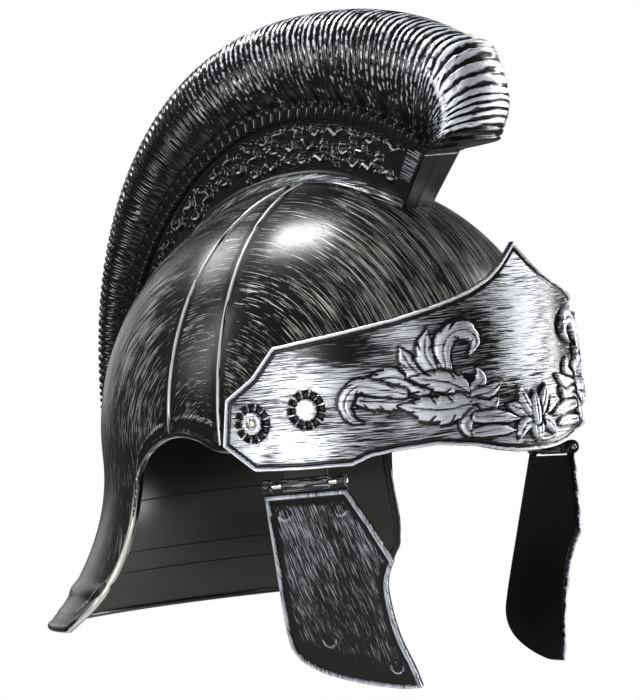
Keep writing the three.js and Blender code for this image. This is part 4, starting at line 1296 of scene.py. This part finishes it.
def plate_grid(rows):
    """Distances round and heights of a face of the plate, from the top edge to the foot."""
    z = tops + np.linspace(0, 1, rows)[:, None] * (lows - tops)
    return np.broadcast_to(plate_rounds, z.shape), z


round_grid, z_grid = plate_grid(plate_rows)
side_round = np.abs(round_grid)
print("plate grid is", plate_rows, "by", plate_columns)

# %% [markdown]
# The rim follows the outline with a groove inside it. A rosette is a hollow ring with pointed teeth round a
# domed disc, and the rear one has a flat seat for a screw.

# %% Plate rim and rosettes
rosettes = [(143.6, -107, True), (115.7, -103, False)]  # distance round, z, has a screw
rosette_radius, rosette_inner, rosette_scallops = 9.3, 5.2, 12
groove_from_edge, groove_depth = 2.5, 0.6


def outline_distance(across, up, outline):
    """Distance of every point to the nearest part of a line of straight pieces."""
    best = np.full(across.shape, 1e9)
    for start, end in zip(outline[:-1], outline[1:]):
        step = end - start
        share = ((across - start[0]) * step[0] + (up - start[1]) * step[1]) / (step ** 2).sum()
        share = np.clip(share, 0, 1)
        gap = np.hypot(across - start[0] - share * step[0], up - start[1] - share * step[1])
        best = np.minimum(best, gap)
    return best


def round_rim(distance, width, raise_by, least):
    """A half-round rim along an edge; least is its height at the edge itself."""
    half = width / 2
    height = raise_by * np.sqrt(np.clip(1 - ((distance - half) / half) ** 2, 0, 1))
    return np.where(distance < half, np.maximum(height, least), height)


to_rim = np.minimum(outline_distance(side_round, z_grid, top_line),
                    outline_distance(side_round, z_grid, foot_line))
rim_height = round_rim(to_rim, rim_width, rim_raise, rim_raise * 0.3)
rim_groove = groove_depth * hump(to_rim, groove_from_edge, 0.55)


def rosette_height(across, up, place):
    """Height over the plate, distance from the middle, and how far a point is on a tooth of the ring."""
    round_by, z, has_screw = place
    off_x, off_y = across - round_by, up - z
    radius = np.hypot(off_x, off_y)
    turns = rosette_scallops * np.arctan2(off_y, off_x) / (2 * math.pi)
    wave = 1 - 4 * np.abs(turns % 1 - 0.5)
    outer_edge = rosette_radius * (1 + 0.12 * wave)
    inner_edge = rosette_inner * (1 + 0.11 * wave)
    in_ring = smooth_step(outer_edge + 0.15, outer_edge - 0.25, radius)
    share = np.clip((radius - inner_edge) / (outer_edge - inner_edge), 0, 1)
    ring = -1.7 * np.sin(math.pi * share) ** 0.6 + 1.3 * wave * np.sin(math.pi * share)
    disc = 1.1 + 0.5 * np.sqrt(np.clip(1 - (radius / rosette_inner) ** 2, 0, 1))
    if has_screw:
        disc = disc - 0.6 * smooth_step(3.1, 2.7, radius)
    on_disc = smooth_step(inner_edge + 0.2, inner_edge - 0.2, radius)
    height = in_ring * (ring * (1 - on_disc) + disc * on_disc)
    height = height + 0.3 * hump(radius, outer_edge + 0.3, 0.5)
    return np.where(radius < rosette_radius + 2.5, height, 0), radius, wave * in_ring * (1 - on_disc)


rosette_relief = np.zeros(side_round.shape)
rosette_near = np.full(side_round.shape, 1e3)
rosette_teeth = np.zeros(side_round.shape)
for place in rosettes:
    height, radius, teeth = rosette_height(side_round, z_grid, place)
    rosette_relief = rosette_relief + height
    rosette_near = np.minimum(rosette_near, radius)
    rosette_teeth = rosette_teeth + teeth
print("rosettes stand", round(float(rosette_relief.max()), 2), "mm high")

# %% [markdown]
# The leaves follow the traditional acanthus scroll: a curled end towards the rosettes, broad toothed leaves
# that fan out from a stem, and petals round the middle of the forehead. Each row is one stroke, and a later
# stroke lies over the earlier ones.

# %% Plate leaves
leaves = [  # spine as (round, z) from root to tip, half width, height, teeth, vein
    ([(90, -101.4), (75.6, -103.4), (60, -105.3)], 4.0, 1.8, 4, 0.8),
    ([(60, -99.4), (72.7, -92.4), (88.5, -92.8)], 5.2, 1.9, 3, 0.8),
    ([(70, -100), (80.4, -97), (90.8, -94.6), (97.2, -101.6), (95.2, -109), (90, -111.6)], 3.8, 2.4, 3, 0.6),
    ([(54, -97), (64.6, -89), (69.7, -78.6)], 5.2, 2.3, 2, 0.8),
    ([(51.5, -95), (58, -83.5), (55.9, -71.8)], 5.0, 2.5, 2, 0.8),
    ([(48.4, -96), (49.5, -82.1), (44.6, -75), (36.5, -74.2), (32.2, -79.6), (36.7, -86.2)],
     4.8, 2.8, 3, 0.7),
    ([(37.6, -103.6), (49.3, -97), (66.5, -93.4)], 5.8, 2.3, 3, 0.9),
    ([(37.2, -108), (54.2, -109.2), (73, -105.4)], 7.0, 2.5, 4, 0.9),
    ([(36, -101), (31.2, -98), (33, -91.6)], 3.2, 1.8, 0, 0.6),
    ([(36, -104.6), (27.6, -103.5), (19.4, -99)], 3.2, 1.9, 0, 0.6),
    ([(36.5, -108), (27.7, -110.4), (22.6, -105.2)], 3.2, 1.9, 0, 0.6),
    ([(37, -111.6), (42.2, -118.1), (36.4, -124.6)], 3.2, 2.1, 0, 0.6),
    ([(38, -121.6), (25.5, -121.4), (14.5, -122.8)], 2.8, 1.7, 0, 0.5),
    ([(37, -114.5), (24.5, -115.3), (10.5, -117.8)], 3.2, 2.0, 0, 0.6),
    ([(3, -117), (10.5, -113.5), (18.5, -110.4)], 3.6, 1.9, 0, 0.8),
    ([(2.2, -119), (9.4, -121.4), (13.4, -127)], 3.6, 2.1, 0, 0.8),
    ([(0.6, -119), (1.6, -123), (0.4, -129)], 3.2, 2.2, 0, 0.6),
    ([(2.0, -116.5), (6.6, -110.5), (9.6, -102.8)], 3.6, 2.2, 0, 0.8),
    ([(0, -119.5), (0, -113), (0, -105.5)], 3.4, 2.6, 0, 0.7),
]
leaf_drawing = np.zeros(side_round.shape), np.zeros(side_round.shape)
for spine, half_width, raise_by, teeth, vein in leaves:
    stroke = stroke_relief(side_round, z_grid, spine, half_width, raise_by, teeth, vein)
    leaf_drawing = laid_over(leaf_drawing, stroke)
leaf_relief, leaf_dark = leaf_drawing
plate_relief = rim_height - rim_groove + rosette_relief + leaf_relief
print("highest leaf:", round(float(leaf_relief.max()), 2), "mm")

# %% [markdown]
# The plate was brushed level, round the brow. Its rim, leaves and discs hold the most silver, the grooves and
# the outlines of the leaves stay black, and a few places are worn thin or painted more fully. A tall band of
# extra silver at the middle and a patch near each end are painted highlight where the upright reflections
# fall.

# %% Plate paint and skin
worn_and_highlight_places = [  # middle as (round, z), spread across and up, change in cover
    # The middle band (-4, -80) and the patch near the end (147, -118) are painted highlight: extra silver
    # where upright reflections of the side lights fall.
    (34, -72, 16, 11, -0.18), (92, -78, 20, 7, -0.26), (58, -100, 26, 16, -0.08),
    (112, -92, 16, 8, 0.14), (122, -118, 22, 8, 0.14), (84, -119, 16, 5, -0.08), (-4, -80, 9, 36, 0.12),
    (147, -118, 12, 14, 0.14), (62, -74, 10, 8, 0.1), (30, -88, 11, 14, -0.12),
]


def plate_cover_of(side, z):
    cover = np.full(side.shape, 0.49)
    for round_by, level, across, up, change in worn_and_highlight_places:
        cover = cover + change * hump(side, round_by, across) * hump(z, level, up)
    leaf_cover = 0.56 + 0.03 * np.clip(leaf_relief, 0, 3)
    cover = np.where(leaf_relief > 0, leaf_cover, cover) * (1 - 0.95 * leaf_dark)
    cover = cover - 0.6 * hump(to_rim, groove_from_edge, 0.65)
    cover = np.where(to_rim < rim_width, 0.35 + 0.5 * smooth_step(0.1, 0.5, to_rim), cover)
    in_rosette = rosette_near < rosette_radius
    ring = in_rosette & (rosette_near > rosette_inner)
    cover = np.where(ring, 0.02 + 0.5 * smooth_step(0.0, 0.7, rosette_teeth), cover)
    return np.where(in_rosette & ~ring, 0.66, cover)


back_round, back_z = plate_grid(back_rows)
plate_front = plate_point(round_grid, z_grid, plate_relief)
plate_back = plate_point(back_round, back_z, -plate_thickness + 0.2)
plate_verts = np.vstack([plate_front.reshape(-1, 3), plate_back.reshape(-1, 3)])
back_first = plate_rows * plate_columns
last_front = back_first - plate_columns
last_back = back_first + (back_rows - 1) * plate_columns
plate_faces = flipped(grid_faces(plate_rows, plate_columns))
plate_faces += grid_faces(back_rows, plate_columns, False, back_first)
for i in range(plate_columns - 1):
    plate_faces.append([i, i + 1, back_first + i + 1, back_first + i])
    plate_faces.append([last_front + i + 1, last_front + i, last_back + i, last_back + i + 1])
plate_cover = np.concatenate([plate_cover_of(side_round, z_grid).ravel(), np.full(back_z.size, -0.4)])
plate_along = np.concatenate([round_grid.ravel(), back_round.ravel()])
plate_across = np.concatenate([z_grid.ravel(), back_z.ravel()])
plate_skin = piece_from("plate_skin", plate_verts, plate_faces, plate_paint, plate_cover,
                        plate_along, plate_across)
tidied(plate_skin, 0.00002)
print("plate skin:", triangle_count(plate_skin), "triangles")

# %% [markdown]
# Under each end of the plate a barrel takes the hinge pin, and the cheek guard has an ear at each end of it.
# Barrels, ears and pins are round about the hinge line, so one turned-profile helper makes them all, drawn on
# the wearer's right and mirrored.

# %% Hinge frame and turned pieces
hinge_front = np.array([-84.2, -68, -136.7])
hinge_back = np.array([-99, -30.5, -136.7])
barrel_from, barrel_to, ear_length = 9.4, 32.0, 3.8
knuckle_radius, knuckle_corner = 3.3, 0.5
pin_radius, pin_corner, pin_overhang = 1.3, 0.35, 0.8
cheek_tilt = math.radians(16)
straight_up = np.array([0, 0, 1.0])
hinge_length = float(np.linalg.norm(hinge_front - hinge_back))
hinge_along = (hinge_front - hinge_back) / hinge_length
level_out = np.array([hinge_along[1], -hinge_along[0], 0])
if level_out[0] > 0:
    level_out = -level_out
hinge_down = -straight_up * math.cos(cheek_tilt) - level_out * math.sin(cheek_tilt)
hinge_out = level_out * math.cos(cheek_tilt) - straight_up * math.sin(cheek_tilt)


def hung(along, down, out):
    """Points of the hinge's own drawing, in their place on the wearer's right."""
    along, down, out = np.broadcast_arrays(along, down, out)
    place = hinge_back + along[..., None] * hinge_along
    return place + down[..., None] * hinge_down + out[..., None] * hinge_out


def square_axes(axis):
    """Two directions square to an axis and to each other."""
    other = np.cross(axis, straight_up)
    other = other / np.linalg.norm(other)
    return other, np.cross(axis, other)


def turned(name, outline, material, cover, sides=28):
    """A solid turned about the hinge line: outline rows are distance along and radius, from 0 to 0."""
    outline = np.array(outline, float)
    other, third = square_axes(hinge_along)
    angles = np.linspace(0, 2 * math.pi, sides, endpoint=False)
    spokes = np.cos(angles)[:, None] * other + np.sin(angles)[:, None] * third
    rings = hinge_back + outline[:, 0, None, None] * hinge_along + outline[:, 1, None, None] * spokes
    piece = piece_from(name, rings.reshape(-1, 3), grid_faces(len(outline), sides, True), material, cover,
                       np.repeat(outline[:, 0], sides), np.tile(angles * 3, len(outline)))
    tidied(piece, 0.000005)
    return piece


def rounded_rod(start, end, radius, corner):
    """Outline of a rod with rounded ends."""
    first = [(start, 0)]
    for bend in np.linspace(0, math.pi / 2, 5):
        first.append((start + corner * (1 - math.cos(bend)), radius - corner * (1 - math.sin(bend))))
    return first + [(start + end - along, around) for along, around in first[::-1]]


def mirrored_copy(piece, name):
    mesh = piece.data.copy()
    mesh.transform(Matrix.Scale(-1, 4, Vector((1, 0, 0))))
    mesh.flip_normals()
    return new_object(name, mesh)


print("hinge is", round(hinge_length, 2), "mm long")

# %% [markdown]
# A short web joins each barrel to the foot of the plate. It is two leaning sheets closed at their ends.

# %% Plate barrels
web_rows, web_columns = 6, 12
web_offsets, web_lean = (1.6, -0.8), 0.35
barrel_outline = rounded_rod(barrel_from, barrel_to, knuckle_radius, knuckle_corner)
barrel = turned("barrel", barrel_outline, plate_paint, 0.32)
web_along, web_up = np.meshgrid(np.linspace(barrel_from + 0.6, barrel_to - 0.6, web_columns),
                                np.linspace(1.0, 9.0, web_rows))
web_along, web_up = web_along[..., None], web_up[..., None]
web_sheets = [hinge_back + web_along * hinge_along + web_up * straight_up
              + level_out * (offset - web_lean * web_up) for offset in web_offsets]
web_verts = np.vstack([sheet.reshape(-1, 3) for sheet in web_sheets])
web_count = web_rows * web_columns
web_faces = grid_faces(web_rows, web_columns)
web_faces += flipped(grid_faces(web_rows, web_columns, False, web_count))
for i in range(web_rows - 1):
    for edge in (0, web_columns - 1):
        a, b = i * web_columns + edge, (i + 1) * web_columns + edge
        web_faces.append([a, b, b + web_count, a + web_count])
web = piece_from("web", web_verts, web_faces, plate_paint, -0.4, web_verts[:, 1], web_verts[:, 2])
plate_parts = [plate_skin]
for part in (barrel, web):
    plate_parts += [part, mirrored_copy(part, part.name + "_left")]
plate = join_pieces("plate_band", plate_parts)
print("plate:", triangle_count(plate), "triangles")

# %% [markdown]
# Each rear rosette holds a pan-head screw with a cross slot. The head is a disc of points pushed in where the
# slot lies.

# %% Screws
screw_head_radius, screw_head_height, screw_shaft_radius, screw_shaft_length = 2.6, 1.4, 1.4, 9.0
screw_seat, screw_turn, slot_depth = 0.9, 0.5, 1.0
head_rings, screw_sides = 22, 72


def screw_piece(name, side):
    round_by, z, _ = rosettes[0]
    place = np.array(side * round_by), np.array(float(z))
    seat = plate_point(*place, screw_seat)
    out = seat - plate_point(*place, -plate_thickness)
    out = out / np.linalg.norm(out)
    other, third = square_axes(out)
    head_radii = np.linspace(0.02, screw_head_radius, head_rings)
    head_levels = screw_head_height * np.sqrt(1 - 0.75 * (head_radii / screw_head_radius) ** 2)
    radii = np.concatenate([head_radii, [screw_head_radius, screw_shaft_radius, screw_shaft_radius, 0.02]])
    levels = np.concatenate([head_levels, [0.1, 0.1, -screw_shaft_length, -screw_shaft_length]])
    angles = np.linspace(0, 2 * math.pi, screw_sides, endpoint=False) + screw_turn
    right = radii[:, None] * np.cos(angles)
    up = radii[:, None] * np.sin(angles)
    arm = np.minimum(np.abs(right), np.abs(up))
    slot = smooth_step(0.5, 0.26, arm) * smooth_step(1.75, 1.35, radii[:, None])
    slot[head_rings:] = 0
    level = levels[:, None] - slot_depth * slot
    verts = seat + right[..., None] * other + up[..., None] * third + level[..., None] * out
    tip_first = (len(radii) - 1) * screw_sides
    faces = grid_faces(len(radii), screw_sides, True)
    faces += [list(range(screw_sides)), [tip_first + i for i in range(screw_sides)]]
    piece = piece_from(name, verts.reshape(-1, 3), faces, steel, 0.5, 0, 0)
    tidied(piece, 0)
    return piece


screw_right = screw_piece("plate_screw_right", -1)
screw_left = screw_piece("plate_screw_left", 1)
pin_outline = rounded_rod(-pin_overhang, hinge_length + pin_overhang, pin_radius, pin_corner)
pin_right = turned("pin_right", pin_outline, steel, 0.5)
pin_left = mirrored_copy(pin_right, "pin_left")
print("screws and pins ready")

# %% [markdown]
# A cheek guard is a flat leaf with a raised rim. Its grid runs from the back edge to the front edge at each
# level, so the outline is exact, and the rim and four round ejector marks are heights over that grid. The
# brush went down the middle and along the rim, and left black between them. Silver on the lower side of each
# mark's ring is painted highlight.

# %% Cheek guards
cheek_top, cheek_thickness, cheek_rim_width, cheek_rim_raise = 4.2, 2.0, 2.0, 1.8
cheek_front = [(39.8, 4.2), (48, 22), (55.6, 40.5), (51, 50), (50, 62), (51.5, 78), (55.5, 93), (57.5, 103)]
cheek_back = [(0, 4.2), (-1.6, 40), (-2.6, 70), (-0.6, 82), (9, 91), (26, 98), (46, 102.8), (57.3, 103.6)]
ejector_marks = [(7.5, 13.5), (34.5, 13.5), (17, 77), (47, 92.5)]
mark_radius, mark_width, mark_depth = 3.1, 0.45, 0.5
cheek_columns = 90
front_edge = np.vstack([cheek_front[:2], spline_through(cheek_front[2:], 60)])
back_edge = spline_through(cheek_back, 120)
cheek_levels = np.concatenate([np.linspace(cheek_top, 84, 108)[:-1], np.linspace(84, 102.95, 64)])
front_along = np.interp(cheek_levels, front_edge[:, 1], front_edge[:, 0])
back_along = np.interp(cheek_levels, back_edge[:, 1], back_edge[:, 0])
share_across = np.linspace(0, 1, cheek_columns)
along_grid = back_along[:, None] + share_across * (front_along - back_along)[:, None]
down_grid = np.broadcast_to(cheek_levels[:, None], along_grid.shape)
cheek_outline = np.vstack([front_edge, back_edge[::-1], front_edge[:1]])
to_edge = outline_distance(along_grid, down_grid, cheek_outline)
cheek_rim = round_rim(to_edge, cheek_rim_width, cheek_rim_raise, 0.6)
marks, painted_highlight_marks = np.zeros(along_grid.shape), np.zeros(along_grid.shape)
for along, down in ejector_marks:
    ring = hump(np.hypot(along_grid - along, down_grid - down), mark_radius, mark_width)
    marks = marks + ring
    # The lower side of each ring gets silver as painted highlight.
    painted_highlight_marks = painted_highlight_marks + ring * smooth_step(-0.5, 2.0, down_grid - down + (2 if down > 50 else 0))
cheek_face = hung(along_grid, down_grid, cheek_thickness / 2 + cheek_rim - mark_depth * marks)
cheek_inside = hung(along_grid, down_grid, np.full(along_grid.shape, -cheek_thickness / 2))
rows = len(cheek_levels)
count = rows * cheek_columns
cheek_verts = np.vstack([cheek_face.reshape(-1, 3), cheek_inside.reshape(-1, 3)])
cheek_faces = grid_faces(rows, cheek_columns) + flipped(grid_faces(rows, cheek_columns, False, count))
numbers = np.arange(count).reshape(rows, cheek_columns)
loop = np.concatenate([numbers[0], numbers[1:, -1], numbers[-1, -2::-1], numbers[-2:0:-1, 0]]).tolist()
for a, b in zip(loop, loop[1:] + loop[:1]):
    cheek_faces.append([a, b, b + count, a + count])
above_foot = 87 + 0.34 * along_grid - down_grid
middle_cover = smooth_step(2.8, 5.5, to_edge) * smooth_step(6, 12, down_grid) * smooth_step(3, 15, above_foot)
middle_cover = middle_cover * (0.4 - 0.001 * down_grid)
cheek_cover = np.where(to_edge < cheek_rim_width, 0.57, middle_cover * (1 - marks) + 0.6 * painted_highlight_marks)
stroke_across = along_grid - 0.2 * down_grid
cheek_cover_all = np.concatenate([cheek_cover.ravel(), np.full(count, -0.02)])
cheek_skin = piece_from("cheek_right", cheek_verts, cheek_faces, cheek_paint, cheek_cover_all,
                        np.tile(down_grid.ravel(), 2), np.tile(stroke_across.ravel(), 2))

box_faces = [[0, 1, 2, 3], [4, 5, 6, 7], [0, 1, 5, 4], [1, 2, 6, 5], [2, 3, 7, 6], [3, 0, 4, 7]]
arm_out = np.array([1, 1, -1, -1])
cheek_parts = [cheek_skin]
for start, end in ((0, ear_length), (hinge_length - ear_length, hinge_length)):
    ear = turned("ear", rounded_rod(start, end, knuckle_radius, knuckle_corner), cheek_paint, 0.25)
    arm_along = np.array([start, end, end, start])
    corners = [hung(arm_along, np.full(4, down), arm_out) for down in (1.0, cheek_top + 3)]
    arm = piece_from("ear_arm", np.vstack(corners), box_faces, cheek_paint, 0.1, 0, 0)
    arm.data.polygons.foreach_set("use_smooth", np.zeros(len(box_faces), bool))
    cheek_parts += [ear, arm]
for part in cheek_parts:
    tidied(part, 0.000005)
cheek_right = join_pieces("cheek_leaf_right", cheek_parts)
cheek_left = mirrored_copy(cheek_right, "cheek_leaf_left")
print("cheek guard:", triangle_count(cheek_right), "triangles")

# %% [markdown]
# Every piece now takes the place of its solid: it rides on the same body and hides the solid it stands for.

# %% Bodies
dressing = [  # piece, body, node it stands for, finish
    (bowl, "helmet", "bowl", "bowl"),
    (crest, "helmet", "crest", "crest"),
    (holder, "helmet", "crest_holder", "crest"),
    (plate, "helmet", "brow_plate", "plate"),
    (screw_right, "helmet", "screw_right", "steel"),
    (screw_left, "helmet", "screw_left", "steel"),
    (pin_right, frame["nodes"]["hinge_pin_right"]["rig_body"], "hinge_pin_right", "steel"),
    (pin_left, frame["nodes"]["hinge_pin_left"]["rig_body"], "hinge_pin_left", "steel"),
    (cheek_right, "cheek_right", "cheek_guard_right", "cheek"),
    (cheek_left, "cheek_left", "cheek_guard_left", "cheek"),
]
for piece, body, node, finish in dressing:
    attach(piece, body)
    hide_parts(node)
total = sum(triangle_count(piece) for piece, *_ in dressing)
print(len(dressing), "pieces,", total, "triangles")
